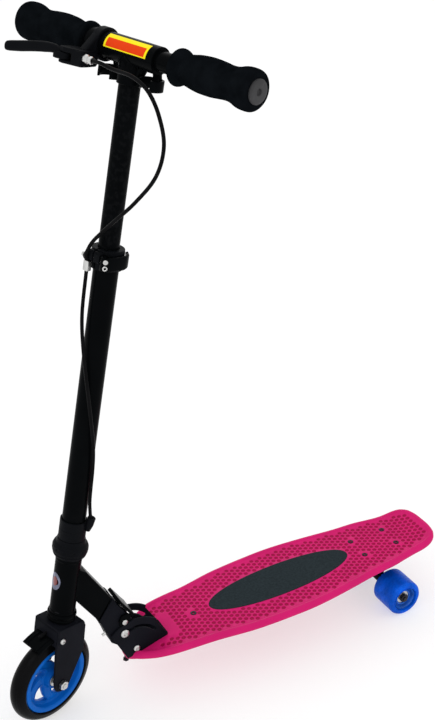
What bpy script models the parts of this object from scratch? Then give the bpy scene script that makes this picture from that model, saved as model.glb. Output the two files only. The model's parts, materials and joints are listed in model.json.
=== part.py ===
"""Three-wheel kick scooter, built piece by piece.

A steered front wheel on a raked fork, a neck that folds on a bracket, a long
deck, and a sprung truck with two wide rear wheels. The handlebar telescopes
and its two grips pull out. X is forward, Y is the rider's left, Z is up.
Lengths are written in millimetres, and MM turns them into metres.
"""

import math

import bmesh
import bpy
from mathutils import Matrix, Vector

MM = 0.001

# Clearances
GAP = 0.3
BEARING_GAP = 0.2
SMALL_BEVEL = 0.6

# Steering axis
RAKE = math.radians(10.97)
STEER_TURN = math.radians(18.4)
AXIS_FOOT_X = 6.9

# Front wheel
TYRE_R = 72.5
TYRE_HALF = 14.0
TYRE_TREAD_R = 13.0
RIM_R = 56.0
RIM_HALF = 12.8
RIM_WELL_R = 47.0
WINDOWS = 5
BEARING_R = 11.0
BEARING_W = 7.0
AXLE_R = 4.0
AXLE_F = 6.9

# Fork
FORK_HALF = 26.0
FORK_WALL = 4.0
CROWN_UP = 100.0
CHANNEL_UP = 93.0
STEERER_R = 14.0
STEERER_BORE = 11.0
STEERER_TOP = 330.0

# Headset, in distance along the steering axis
HEAD_LOW = 187.0
HEAD_HIGH = 279.0
HEAD_R = 19.0
CUP_R = 21.5
RING_R = 26.0
RING_TOP = 309.7
SLEEVE_R = 19.5
SLEEVE_TOP = 340.0

# Column
COLUMN_R = 17.0
COLUMN_TOP = 733.0
UPPER_R = 14.0
UPPER_LOW = 650.0
TEE_S = 991.6
TEE_R = 17.0
TEE_LEFT = 47.0
TEE_RIGHT = 72.0
SOCKET_LOW = 954.0

# Height clamp
CLAMP_LOW = 709.0
CLAMP_TOP = 738.0
CLAMP_R = 22.0
SKEWER_R = 3.0
SKEWER_F = 22.0
SKEWER_S = 724.0
EAR_RIGHT = 15.2
EAR_LEFT = 12.0
CAM_Y = 21.0

# Grips
GRIP_TUBE_R = 12.6
GRIP_END = 205.0
GRIP_START = 76.0
BUTTON_INSET = 8.0
BUTTON_R = 3.0

# Brake
SHOE_R = 79.5
SHOE_T = 3.5
SHOE_HALF = 19.0
BRAKE_F = 10.0
BRAKE_UP = 79.5
BRAKE_BOLT_R = 2.5
SHOE_SLEEVE_R = 5.0
CABLE_R = 2.5
LEVER_PIVOT = (45.0, -72.0, 968.0)

# Neck and folding bracket, in scooter X and Z
NECK_HALF = 16.0
BLOCK_HALF = 16.2
CHEEK_OUT = 20.0
FLOOR_T = 2.5
PIVOT = (-134.5, 80.0)
LOCK = (-116.5, 115.5)
LEVER_PIN = (-117.5, 136.4)
ARC_R = 54.5
PIVOT_BOLT_R = 3.0
LOCK_BOLT_R = 3.0
LEVER_PIN_R = 2.5
FOLD = 79.0

# Deck: x, top height, half width, dish of the top, hollow below
DECK_T = 13.0
PAD_FRONT = -272.0
PAD_REAR = -530.0
PAD_HALF = 40.0
PAD_T = 1.2
PAD_Z = 91.4
PAD_SLOPE = 0.0357
FRONT_BOLT_X = -243.0


def flat(x):
    """Gives the height of the deck's long flat part at x."""
    return PAD_Z + (PAD_FRONT - x) * PAD_SLOPE


DECK = (
    (-115.0, 63.0, 12.0, 0.0, 0.0),
    (-118.0, 64.0, 18.0, 0.0, 0.0),
    (-124.0, 65.6, 25.0, 0.0, 0.0),
    (-139.0, 69.8, 40.0, 0.0, 0.0),
    (-155.0, 74.4, 50.0, 0.0, 0.0),
    (-173.0, 79.5, 57.0, 0.0, 0.0),
    (-189.0, 84.0, 59.5, 0.0, 0.0),
    (-205.0, 86.6, 61.5, 0.4, 0.0),
    (-225.0, 88.9, 64.5, 0.8, 0.0),
    (-257.0, flat(-257.0), 69.0, 1.5, 0.0),
    (-306.0, flat(-306.0), 77.0, 1.5, 3.5),
    (-340.0, flat(-340.0), 80.0, 1.5, 3.5),
    (-376.0, flat(-376.0), 81.5, 1.5, 3.5),
    (-413.0, flat(-413.0), 82.0, 1.5, 3.5),
    (-451.0, flat(-451.0), 79.5, 1.5, 3.5),
    (-500.0, flat(-500.0), 73.5, 1.5, 3.5),
    (-545.0, flat(-545.0), 67.0, 1.5, 3.5),
    (-585.0, 102.5, 63.5, 1.5, 3.5),
    (-610.0, 103.3, 59.0, 1.5, 3.5),
    (-632.0, 104.6, 55.5, 1.5, 3.5),
    (-652.0, 108.6, 54.5, 1.5, 3.5),
    (-671.0, 114.4, 53.5, 1.5, 3.5),
    (-686.0, 118.9, 47.0, 1.0, 2.0),
    (-696.0, 121.0, 33.0, 0.0, 0.0),
)

# Truck and rear wheels
TRUCK_X = -585.0
BOLT_DX = 31.75
BOLT_DY = 20.65
REAR_AXLE_X = -597.0
REAR_R = 30.5
REAR_HALF = 25.5
REAR_Y = 55.4
REAR_CORE_R = 20.0
KINGPIN_X = -570.0
KINGPIN_R = 4.0
RING_Z = 64.0
HANGER_RING_R = 13.5
BUSHING_H = 8.0
BUSHING_R = 9.5
PIVOT_CUP = (-614.0, 78.0)

PALETTE = {
    "pink_plastic": ((0.6, 0.02, 0.16), 0.42, 0.0),
    "black_plastic": ((0.012, 0.012, 0.013), 0.55, 0.0),
    "black_paint": ((0.01, 0.01, 0.011), 0.32, 0.0),
    "pad_print": ((0.055, 0.055, 0.058), 0.7, 0.0),
    "zinc_steel": ((0.62, 0.62, 0.6), 0.3, 1.0),
    "dark_steel": ((0.05, 0.05, 0.052), 0.4, 1.0),
    "rubber": ((0.011, 0.011, 0.011), 0.8, 0.0),
    "foam": ((0.009, 0.009, 0.009), 0.95, 0.0),
    "blue_rim": ((0.012, 0.05, 0.42), 0.35, 0.0),
    "blue_wheel": ((0.01, 0.045, 0.5), 0.25, 0.0),
    "core_plastic": ((0.02, 0.02, 0.022), 0.45, 0.0),
    "cable_jacket": ((0.01, 0.01, 0.01), 0.4, 0.0),
}

OFFSETS = {}
BONES = {}
STORE = {}


def clear_scene():
    """Removes every object that the new file starts with."""
    for item in list(bpy.data.objects):
        bpy.data.objects.remove(item, do_unlink=True)


def collection(name):
    """Makes a collection in the scene and returns it."""
    made = bpy.data.collections.new(name)
    bpy.context.scene.collection.children.link(made)
    return made


def material(node, kind):
    """Makes the node's own material of one kind."""
    colour, rough, metal = PALETTE[kind]
    made = bpy.data.materials.new(node + "_" + kind)
    made.use_nodes = True
    shader = made.node_tree.nodes["Principled BSDF"]
    shader.inputs["Base Color"].default_value = (*colour, 1.0)
    shader.inputs["Roughness"].default_value = rough
    shader.inputs["Metallic"].default_value = metal
    made.diffuse_color = (*colour, 1.0)
    return made


def at(x, y, z):
    """Gives the matrix of a plain shift in millimetres."""
    return Matrix.Translation(Vector((x, y, z)) * MM)


def side(y=0.0):
    """Stands a flat outline up in the X-Z plane at height y of the left."""
    return at(0.0, y, 0.0) @ Matrix.Rotation(math.pi / 2, 4, "X")


def along(point, direction):
    """Gives a matrix at a point whose Z runs along a direction."""
    turn = Vector(direction).to_track_quat("Z", "Y").to_matrix().to_4x4()
    return at(*point) @ turn


def frame(name, parent, point, turn=None):
    """Makes an empty at a joint and keeps its parent's coordinates."""
    made = bpy.data.objects.new(name, None)
    STORE["parts"].objects.link(made)
    made.empty_display_size = 0.02
    if parent is not None:
        made.parent = parent
        made.matrix_local = OFFSETS[parent.name] @ at(*point) @ (turn or Matrix())
    OFFSETS[name] = Matrix() if turn is not None or parent is None else at(*(-Vector(point)))
    return made


def make(name, data, parent, where, kind):
    """Makes a piece, or a cutter when it has no material kind."""
    made = bpy.data.objects.new(name, data)
    if kind is None:
        STORE["cutters"].objects.link(made)
        made.hide_render = True
        made.display_type = "WIRE"
    else:
        STORE["parts"].objects.link(made)
        data.materials.append(material(name, kind))
        BONES[name] = parent.name
    made.parent = parent
    made.matrix_local = OFFSETS[parent.name] @ where
    return made


def lathe(name, profile, parent, where, kind, segments=24, closed=False):
    """Turns a profile of radius and height about Z. It runs down outside."""
    mesh = bpy.data.meshes.new(name)
    points = [(r * MM, 0.0, h * MM) for r, h in profile]
    edges = [(i, i + 1) for i in range(len(points) - 1)]
    if closed:
        edges.append((len(points) - 1, 0))
    mesh.from_pydata(points, edges, [])
    made = make(name, mesh, parent, where, kind)
    turn = made.modifiers.new("turned", "SCREW")
    turn.steps = segments
    turn.render_steps = segments
    turn.use_merge_vertices = True
    turn.merge_threshold = 0.00001
    turn.use_smooth_shade = True
    return made


def ring(name, outer, inner, low, high, parent, where, kind, segments=24, edge=0.5):
    """Makes a round sleeve with small bevels on its outer edges."""
    cut = min(edge, (outer - inner) / 3, (high - low) / 3)
    if cut:
        side_points = [(outer - cut, high), (outer, high - cut), (outer, low + cut), (outer - cut, low)]
    else:
        side_points = [(outer, high), (outer, low)]
    profile = [(inner, high)] + side_points + [(inner, low)]
    return lathe(name, profile, parent, where, kind, segments, closed=True)


def rod(name, radius, low, high, parent, where, kind, segments=16, edge=0.4):
    """Makes a solid round bar with small bevels."""
    cut = min(edge, radius / 3, (high - low) / 3)
    profile = [(0.0, high), (radius - cut, high), (radius, high - cut), (radius, low + cut),
               (radius - cut, low), (0.0, low)]
    return lathe(name, profile, parent, where, kind, segments)


def drill(name, radius, low, high, parent, where, segments=16):
    """Makes a plain round cutter along Z, with a flat face at each end."""
    step = 360.0 / segments
    outline = arc((0.0, 0.0), radius, step / 2, 360.0 - step / 2, segments - 1)
    middle = where @ at(0.0, 0.0, (low + high) / 2)
    return plate(name, outline, high - low, parent, middle, None)


def plate(name, outline, thickness, parent, where, kind, bevel=0.0, segments=1):
    """Makes a flat piece from an outline, thick equally to both sides."""
    mesh = bpy.data.meshes.new(name)
    grid = bmesh.new()
    corners = [grid.verts.new((u * MM, v * MM, 0.0)) for u, v in outline]
    face = grid.faces.new(corners)
    grid.normal_update()
    if face.normal.z < 0.0:
        face.normal_flip()
    grid.to_mesh(mesh)
    grid.free()
    made = make(name, mesh, parent, where, kind)
    thick = made.modifiers.new("thickness", "SOLIDIFY")
    thick.thickness = thickness * MM
    thick.offset = 0.0
    if bevel:
        round_off = made.modifiers.new("edges", "BEVEL")
        round_off.width = bevel * MM
        round_off.segments = segments
        round_off.limit_method = "ANGLE"
        round_off.angle_limit = math.radians(40.0)
    return made


def box(name, low, high, parent, kind, bevel=0.0):
    """Makes a block between two corners, bevelled if a width is given."""
    outline = [(low[0], low[1]), (high[0], low[1]), (high[0], high[1]), (low[0], high[1])]
    where = at(0.0, 0.0, (low[2] + high[2]) / 2)
    return plate(name, outline, high[2] - low[2], parent, where, kind, bevel)


def loft(name, rings, parent, where, kind):
    """Skins a run of equal closed rings and closes both ends."""
    mesh = bpy.data.meshes.new(name)
    count = len(rings[0])
    points = [tuple(c * MM for c in point) for loop in rings for point in loop]
    faces = []
    for i in range(len(rings) - 1):
        for j in range(count):
            k = (j + 1) % count
            faces.append((i * count + j, i * count + k, (i + 1) * count + k, (i + 1) * count + j))
    last = (len(rings) - 1) * count
    faces.append(tuple(range(count - 1, -1, -1)))
    faces.append(tuple(last + j for j in range(count)))
    mesh.from_pydata(points, [], faces)
    grid = bmesh.new()
    grid.from_mesh(mesh)
    bmesh.ops.recalc_face_normals(grid, faces=grid.faces)
    grid.to_mesh(mesh)
    grid.free()
    return make(name, mesh, parent, where, kind)


def combine(piece, others, how):
    """Adds or cuts a list of helper solids on a piece."""
    for number, other in enumerate(others):
        step = piece.modifiers.new(how.lower() + "_" + str(number), "BOOLEAN")
        step.operation = how
        step.solver = "EXACT"
        step.object = other
        weld(piece)
    return piece


def weld(piece):
    """Closes hairline edges left on a piece."""
    seal = piece.modifiers.new("weld", "WELD")
    seal.merge_threshold = 0.00002


def cut(piece, *others):
    """Cuts helper solids out of a piece."""
    return combine(piece, others, "DIFFERENCE")


def join(piece, *others):
    """Joins helper solids onto a piece."""
    return combine(piece, others, "UNION")


def smooth_route(points, step):
    """Reads a smooth curve through route points at nearly equal steps."""
    pts = [Vector(p) for p in points]
    pts = [2 * pts[0] - pts[1]] + pts + [2 * pts[-1] - pts[-2]]
    dense = []
    for i in range(1, len(pts) - 2):
        a, b, c, d = pts[i - 1:i + 3]
        for k in range(24):
            t = k / 24
            dense.append(0.5 * (2 * b + (c - a) * t + (2 * a - 5 * b + 4 * c - d) * t * t
                                + (3 * b - a - 3 * c + d) * t ** 3))
    dense.append(pts[-2])
    total = sum((q - p).length for p, q in zip(dense, dense[1:]))
    count = max(2, round(total / step))
    spots = [dense[0]]
    walked = 0.0
    for p, q in zip(dense, dense[1:]):
        length = (q - p).length
        while len(spots) < count and walked + length >= len(spots) * total / count:
            share = (len(spots) * total / count - walked) / length
            spots.append(p.lerp(q, share))
        walked += length
    spots.append(dense[-1])
    return spots


def cord_curve(name, points, radius):
    """Makes curve data of a round cord through points."""
    data = bpy.data.curves.new(name, "CURVE")
    data.dimensions = "3D"
    line = data.splines.new("POLY")
    line.points.add(len(points) - 1)
    for spot, point in zip(line.points, points):
        spot.co = (point[0] * MM, point[1] * MM, point[2] * MM, 1.0)
    data.bevel_depth = radius * MM
    data.bevel_resolution = 2
    data.use_fill_caps = True
    return data


def cord_cutter(name, points, radius, parent):
    """Makes a cutter along a route, as a mesh."""
    data = cord_curve(name, points, radius)
    curve = bpy.data.objects.new(name + "_line", data)
    STORE["cutters"].objects.link(curve)
    mesh = bpy.data.meshes.new_from_object(curve)
    grid = bmesh.new()
    grid.from_mesh(mesh)
    bmesh.ops.remove_doubles(grid, verts=grid.verts, dist=0.00001)
    bmesh.ops.recalc_face_normals(grid, faces=grid.faces)
    grid.to_mesh(mesh)
    grid.free()
    bpy.data.objects.remove(curve, do_unlink=True)
    return make(name, mesh, parent, Matrix(), None)


def arc(centre, radius, start, end, steps):
    """Lists points on an arc between two angles in degrees."""
    spots = []
    for i in range(steps + 1):
        angle = math.radians(start + (end - start) * i / steps)
        spots.append((centre[0] + radius * math.cos(angle), centre[1] + radius * math.sin(angle)))
    return spots


def deck_at(x, column):
    """Reads one column of the deck table at any x."""
    for front, rear in zip(DECK, DECK[1:]):
        if rear[0] <= x <= front[0]:
            share = (front[0] - x) / (front[0] - rear[0])
            return front[column] + (rear[column] - front[column]) * share
    return DECK[0][column] if x > DECK[0][0] else DECK[-1][column]


def deck_top(x):
    """Gives the height of the middle of the deck's top at x."""
    return deck_at(x, 1) - deck_at(x, 3)


def deck_bottom(x):
    """Gives the height of the middle of the deck's underside at x."""
    return deck_at(x, 1) - DECK_T + deck_at(x, 4)


def deck_ring(x, top, half, dish, hollow):
    """Gives one cross-section of the deck, with its rolled rim."""
    k = min(1.0, half / 24.0)
    right = [(half - 16 * k, -dish), (half - 11 * k, 0.0), (half - 4 * k, -0.5 * k),
             (half - 0.8 * k, -3.0 * k), (half, -6.0 * k), (half - 1.5 * k, -10.0 * k),
             (half - 5 * k, -12.5 * k), (half - 11 * k, -DECK_T), (half - 14 * k, hollow - DECK_T)]
    loop = [(x, y, top + dz) for y, dz in right]
    loop += [(x, -y, top + dz) for y, dz in reversed(right)]
    return loop


def bolt(name, top, head_r, head_h, shank_r, length, nut_r, nut_h, parent, where, kind):
    """Makes a bolt with its nut: head up, shank down, nut at its foot."""
    profile = [(0.0, head_h), (head_r * 0.75, head_h), (head_r, head_h * 0.45), (head_r, 0.0),
               (shank_r, 0.0), (shank_r, -length)]
    if nut_r:
        profile += [(nut_r, -length), (nut_r, -length - nut_h), (shank_r, -length - nut_h),
                    (shank_r, -length - nut_h - 1.5)]
        foot = -length - nut_h - 1.5
    else:
        foot = -length
    profile.append((0.0, foot))
    return lathe(name, profile, parent, where @ at(0.0, 0.0, top), kind, 12)


def build_deck(root):
    """Makes the deck, its pad, the folding bracket and their bolts."""
    deck = loft("deck", [deck_ring(*row) for row in DECK], root, Matrix(), "pink_plastic")
    holes = []
    spots = [(FRONT_BOLT_X, 0.0), (-124.5, 0.0)]
    spots += [(TRUCK_X + a * BOLT_DX, b * BOLT_DY) for a in (1, -1) for b in (1, -1)]
    for number, (x, y) in enumerate(spots):
        where = at(x, y, deck_at(x, 1) - 30.0)
        holes.append(drill("deck_hole_" + str(number), 2.8, 0.0, 60.0, root, where, 12))
    cut(deck, *holes)

    pad_rings = []
    middle = (PAD_FRONT + PAD_REAR) / 2
    reach = (PAD_FRONT - PAD_REAR) / 2
    for i in range(15):
        angle = math.pi * (0.04 + 0.92 * i / 14)
        x = middle + reach * math.cos(angle) / math.cos(0.04 * math.pi)
        half = PAD_HALF * math.sin(angle) ** 0.8
        low = deck_top(x) + GAP
        pad_rings.append([(x, -half, low), (x, half, low), (x, half, low + PAD_T),
                          (x, -half, low + PAD_T)])
    loft("deck_pad", pad_rings, root, Matrix(), "pad_print")

    rail = [-119.5, -139.0, -155.0, -173.0, -189.0]
    foot = [(x, deck_top(x) + GAP) for x in rail]
    cheek = foot + [(-168.5, 119.0)] + arc(PIVOT, ARC_R, 128.0, 43.0, 9)
    bracket = plate("hinge_bracket", cheek, 2 * CHEEK_OUT, root, side(), "black_paint", SMALL_BEVEL)
    inside = [(x, z + FLOOR_T) for x, z in foot]
    inside[0] = (-100.0, inside[0][1] - 5.0)
    inside[-1] = (-205.0, inside[-1][1] + 4.3)
    inside += [(-205.0, 160.0), (-80.0, 160.0), (-80.0, inside[0][1])]
    channel = plate("bracket_channel", inside, 2 * (BLOCK_HALF + GAP), root, side(), None)
    arm = Vector(LOCK) - Vector(PIVOT)
    lean = math.degrees(math.atan2(arm.y, arm.x))
    half = LOCK_BOLT_R + GAP
    track = arc(PIVOT, arm.length + half, lean, lean + FOLD, 12)
    track += arc(Vector(PIVOT) + Matrix.Rotation(math.radians(FOLD), 2) @ arm, half,
                 lean + FOLD, lean + FOLD + 180.0, 6)[1:-1]
    track += arc(PIVOT, arm.length - half, lean + FOLD, lean, 12)
    track += arc(LOCK, half, lean - 180.0, lean, 6)[1:-1]
    slot = plate("bracket_slot", track, 60.0, root, side(), None)
    eye = drill("bracket_eye", PIVOT_BOLT_R + GAP, -40.0, 40.0, root,
              along((PIVOT[0], 0.0, PIVOT[1]), (0, 1, 0)), 16)
    hole = drill("bracket_hole", 2.8, -20.0, 20.0, root, at(-124.5, 0.0, deck_top(-124.5)), 12)
    cut(bracket, channel, slot, eye, hole)

    grip = DECK_T + 2 * GAP
    bolt("deck_front_bolt", deck_top(FRONT_BOLT_X) + 2 * GAP, 6.0, 2.6, 2.5, grip + 2 * GAP, 4.5, 3.5, root,
         at(FRONT_BOLT_X, 0.0, 0.0), "dark_steel")
    seat = deck_top(-124.5) + GAP + FLOOR_T + 1.6
    bolt("bracket_bolt", seat, 4.5, 2.0, 2.5, grip + FLOOR_T + 3.2, 4.5, 3.5, root,
         at(-124.5, 0.0, 0.0), "zinc_steel")
    reach = 2 * (CHEEK_OUT + GAP)
    bolt("pivot_bolt", CHEEK_OUT + GAP, 5.5, 2.8, PIVOT_BOLT_R, reach, 5.0, 3.0, root,
         along((PIVOT[0], 0.0, PIVOT[1]), (0, 1, 0)), "zinc_steel")


def build_truck(root):
    """Makes the truck under the tail, with its bushings, axle and wheels."""
    front = TRUCK_X + BOLT_DX + 9.0
    rear = TRUCK_X - BOLT_DX - 9.0
    base_low = deck_bottom(TRUCK_X) - 7.5
    slab = [(x, deck_bottom(x) - GAP) for x in (front, TRUCK_X, -610.0, rear)]
    slab += [(rear, base_low), (front, base_low)]
    base = plate("truck_baseplate", slab, 56.0, root, side(), "black_paint", SMALL_BEVEL)
    ring_at = Vector((KINGPIN_X, 0.0, RING_Z))
    cup_at = Vector((PIVOT_CUP[0], 0.0, PIVOT_CUP[1]))
    axis = (cup_at - ring_at).normalized()
    seat_z = RING_Z + 4.0 + BUSHING_H + 2 * GAP
    boss = rod("base_boss", BUSHING_R + 2.5, seat_z, base_low + 2.0, root, at(KINGPIN_X, 0.0, 0.0), None)
    cup_shape = [(rear + 2.0, base_low + 2.0), (-596.0, base_low + 2.0),
                 (cup_at.x + 6.0, cup_at.z - 1.0), (cup_at.x - 1.0, cup_at.z - 8.0),
                 (rear + 2.0, cup_at.z - 1.0)]
    cup = plate("base_cup", cup_shape, 24.0, root, side(), None)
    join(base, boss, cup)
    nose_r = 4.5
    cup_hole = drill("base_cup_hole", nose_r + GAP, -30.0, 4.0, root, along(cup_at, axis), 16)
    king_hole = drill("base_king_hole", KINGPIN_R + GAP, -20.0, 60.0, root,
                    at(KINGPIN_X, 0.0, RING_Z), 16)
    screws = []
    for number, (a, b) in enumerate([(1, 1), (1, -1), (-1, 1), (-1, -1)]):
        x = TRUCK_X + a * BOLT_DX
        y = b * BOLT_DY
        screws.append(drill("base_hole_" + str(number), 2.8, 0.0, 60.0, root,
                          at(x, y, base_low - 20.0), 12))
        top = deck_top(x) + 2 * GAP
        bolt("truck_bolt_" + str(number + 1), top, 4.2, 1.6, 2.5, top - base_low + GAP, 4.2, 3.0,
             root, at(x, y, 0.0), "dark_steel")
    cut(base, cup_hole, king_hole, *screws)

    king_top = deck_bottom(KINGPIN_X) - GAP - 0.6
    low = RING_Z - 4.0 - BUSHING_H - 2 * GAP
    head_r = 6.0
    profile = [(0.0, king_top), (KINGPIN_R, king_top), (KINGPIN_R, low), (BUSHING_R, low),
               (BUSHING_R, low - 1.5), (head_r, low - 1.5), (head_r, low - 7.0),
               (KINGPIN_R, low - 7.0), (KINGPIN_R, low - 9.0), (0.0, low - 9.0)]
    lathe("kingpin", profile, root, at(KINGPIN_X, 0.0, 0.0), "zinc_steel", 16)
    ring("bushing_top", BUSHING_R, KINGPIN_R + GAP, RING_Z + 4.0 + GAP, seat_z - GAP, root,
         at(KINGPIN_X, 0.0, 0.0), "rubber", 20, 1.5)
    ring("bushing_bottom", BUSHING_R, KINGPIN_R + GAP, low + GAP, RING_Z - 4.0 - GAP, root,
         at(KINGPIN_X, 0.0, 0.0), "rubber", 20, 1.5)

    tilt = frame("truck_tilt", root, ring_at)
    hanger = ring("truck_hanger", HANGER_RING_R, KINGPIN_R + 2.0, -4.0, 4.0, tilt,
                  at(*ring_at), "black_paint", 20, 1.0)
    arm = [(KINGPIN_X - 11.5, RING_Z + 3.5), (KINGPIN_X - 11.5, RING_Z - 8.0),
           (KINGPIN_X - 14.0, RING_Z - 22.0), (REAR_AXLE_X + 6.0, REAR_R - 6.0),
           (REAR_AXLE_X - 7.0, REAR_R - 5.0), (REAR_AXLE_X - 9.0, REAR_R + 14.0),
           (REAR_AXLE_X - 2.0, RING_Z + 2.0)]
    web = plate("hanger_web", arm, 20.0, tilt, side(), None, 2.0)
    tube = rod("hanger_tube", 9.0, -26.0, 26.0, tilt, along((REAR_AXLE_X, 0.0, REAR_R), (0, 1, 0)),
               None, 16, 2.0)
    nose = rod("hanger_nose", nose_r, -32.0, 0.0, tilt, along(cup_at, axis), None, 12, 1.5)
    join(hanger, web, tube, nose)
    bore = drill("hanger_bore", AXLE_R + BEARING_GAP, -60.0, 60.0, tilt,
               along((REAR_AXLE_X, 0.0, REAR_R), (0, 1, 0)), 16)
    eye = drill("hanger_eye", KINGPIN_R + 2.0, -12.0, 12.0, tilt, at(*ring_at), 32)
    cut(hanger, bore, eye)

    nut_in = REAR_Y + 10.0 + BEARING_W + GAP
    ends = nut_in + 8.5
    half = [(AXLE_R, nut_in), (6.4, nut_in), (6.4, nut_in + 6.5), (AXLE_R, nut_in + 6.5)]
    profile = [(0.0, ends), (AXLE_R, ends)] + [(r, h) for r, h in reversed(half)]
    profile += [(r, -h) for r, h in half] + [(AXLE_R, -ends), (0.0, -ends)]
    lathe("rear_axle", profile, tilt, along((REAR_AXLE_X, 0.0, REAR_R), (0, 1, 0)), "zinc_steel", 12)

    for name, sign in (("left", 1.0), ("right", -1.0)):
        hub = frame("rear_wheel_" + name, tilt, (REAR_AXLE_X, sign * REAR_Y, REAR_R))
        where = along((REAR_AXLE_X, sign * REAR_Y, REAR_R), (0, sign, 0))
        w = REAR_HALF
        tread = [(REAR_CORE_R + 2 * GAP, w - 2.5), (REAR_CORE_R + 2.0, w), (REAR_R - 5.0, w),
                 (REAR_R - 1.4, w - 1.6), (REAR_R, w - 5.5), (REAR_R, 5.5 - w),
                 (REAR_R - 1.4, 1.6 - w), (REAR_R - 5.0, -w), (REAR_CORE_R + 2.0, -w),
                 (REAR_CORE_R + 2 * GAP, 2.5 - w)]
        lathe("rear_tyre_" + name, tread, hub, where, "blue_wheel", 28, closed=True)
        seat = BEARING_R + GAP
        core = [(AXLE_R + 3.0, 10.0 - GAP), (seat, 10.0 - GAP), (seat, 18.5), (seat + 2.5, 18.5),
                (REAR_CORE_R - 3.0, 14.0), (REAR_CORE_R - 2.5, w - 2.5), (REAR_CORE_R, w - 2.5),
                (REAR_CORE_R, 2.5 - w), (REAR_CORE_R - 2.5, 2.5 - w), (REAR_CORE_R - 3.0, -12.0),
                (seat + 2.5, -w + 1.0), (AXLE_R + 1.0, -w + 1.0), (AXLE_R + 1.0, -10.0),
                (AXLE_R + 3.0, -8.0)]
        lathe("rear_core_" + name, core, hub, where, "core_plastic", 24, closed=True)
        ring("rear_bearing_" + name, BEARING_R, AXLE_R + BEARING_GAP, 10.0, 10.0 + BEARING_W,
             hub, where, "zinc_steel", 20)


def build_neck(fold):
    """Makes the folding neck: head tube, beam, hinge block and lock."""
    axis_point = (AXIS_FOOT_X, 0.0, 0.0)
    up = (-math.sin(RAKE), 0.0, math.cos(RAKE))
    head = rod("neck_frame", HEAD_R, HEAD_LOW, HEAD_HIGH, fold, along(axis_point, up), "black_paint", 32)
    beam = [(-52.0, 254.0), (-66.0, 243.4), (-102.0, 183.0), (-79.0, 149.5), (-46.0, 200.0),
            (-42.0, 215.0)]
    beam_body = plate("neck_beam", beam, 2 * NECK_HALF, fold, side(), None, 3.0, 3)
    join(head, beam_body)
    bore = drill("neck_bore", STEERER_R + 1.7, HEAD_LOW - 5.0, HEAD_HIGH + 5.0, fold,
               along(axis_point, up), 32)
    pocket = [(-100.0, 171.5), (-86.0, 151.0), (-71.4, 174.5), (-85.4, 195.3)]
    pocket_cut = plate("neck_pocket", pocket, 22.0, fold, side(), None)
    cut(head, bore, pocket_cut)

    body = [(-102.7, 182.3), (-105.0, 180.0), (-108.0, 172.0), (-131.0, 135.5)]
    body += arc(PIVOT, 7.5, 172.0, 318.0, 10)
    body += [(-96.0, 103.0), (-92.5, 114.0), (-81.5, 143.5), (-79.3, 148.9)]
    block = plate("hinge_block", body, 2 * BLOCK_HALF, fold, side(), "black_paint", 1.0)
    tongue = [(-99.0, 171.5), (-86.5, 153.0), (-72.2, 174.6), (-85.6, 194.2)]
    tongue_add = plate("block_tongue", tongue, 21.4, fold, side(), None)
    join(block, tongue_add)
    eye = drill("block_eye", PIVOT_BOLT_R + GAP, -40.0, 40.0, fold,
              along((PIVOT[0], 0.0, PIVOT[1]), (0, 1, 0)), 16)
    lock_eye = drill("block_lock_eye", LOCK_BOLT_R + GAP, -40.0, 40.0, fold,
                   along((LOCK[0], 0.0, LOCK[1]), (0, 1, 0)), 16)
    pin_eye = drill("block_pin_eye", LEVER_PIN_R + GAP, -40.0, 40.0, fold,
                  along((LEVER_PIN[0], 0.0, LEVER_PIN[1]), (0, 1, 0)), 16)
    screw_where = along((-88.5, 0.0, 110.0), (0.94, 0.0, -0.34))
    screw_hole = drill("block_screw_hole", 2.8, -24.0, 10.0, fold, screw_where, 12)
    cut(block, eye, lock_eye, pin_eye, screw_hole)
    rod("stop_screw", 2.5, -14.0, 1.0, fold, screw_where, "zinc_steel", 12)

    bolt("lock_bolt", CHEEK_OUT + GAP, 6.5, 3.2, LOCK_BOLT_R, 2 * (CHEEK_OUT + GAP), 6.0, 3.0, fold,
         along((LOCK[0], 0.0, LOCK[1]), (0, 1, 0)), "zinc_steel")
    bolt("lever_pin", CHEEK_OUT + GAP, 4.6, 2.0, LEVER_PIN_R, 2 * (CHEEK_OUT + GAP), 4.0, 2.0, fold,
         along((LEVER_PIN[0], 0.0, LEVER_PIN[1]), (0, 1, 0)), "zinc_steel")

    hold = frame("release_axis", fold, (LEVER_PIN[0], 0.0, LEVER_PIN[1]))
    ear = arc(PIVOT, ARC_R + 0.5, 61.0, 71.0, 3)
    ear += arc(LEVER_PIN, 4.2, 250.0, 190.0, 3)
    ear += [(-127.0, 141.0), (-134.0, 144.5), (-128.5, 152.5), (-113.0, 176.5), (-107.0, 172.5),
            (-111.5, 146.0), (-108.5, 139.5)]
    lever = plate("release_lever", ear, 2 * CHEEK_OUT, hold, side(), "black_paint", SMALL_BEVEL)
    gap_shape = [(-132.6, 135.2), (-109.9, 171.3), (-105.0, 182.0), (-80.0, 182.0), (-80.0, 100.0),
                 (-145.0, 100.0), (-145.0, 128.0)]
    gap_cut = plate("lever_gap", gap_shape, 2 * (BLOCK_HALF + GAP), hold, side(), None)
    eye = drill("lever_eye", LEVER_PIN_R + GAP, -40.0, 40.0, hold,
              along((LEVER_PIN[0], 0.0, LEVER_PIN[1]), (0, 1, 0)), 16)
    cut(lever, gap_cut, eye)
    crown = STEER["axle_s"] + CROWN_UP
    ring("lower_cup", CUP_R, STEERER_R + GAP, crown + GAP, HEAD_LOW - GAP, fold,
         along(axis_point, up), "zinc_steel", 28, 2.0)


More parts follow.
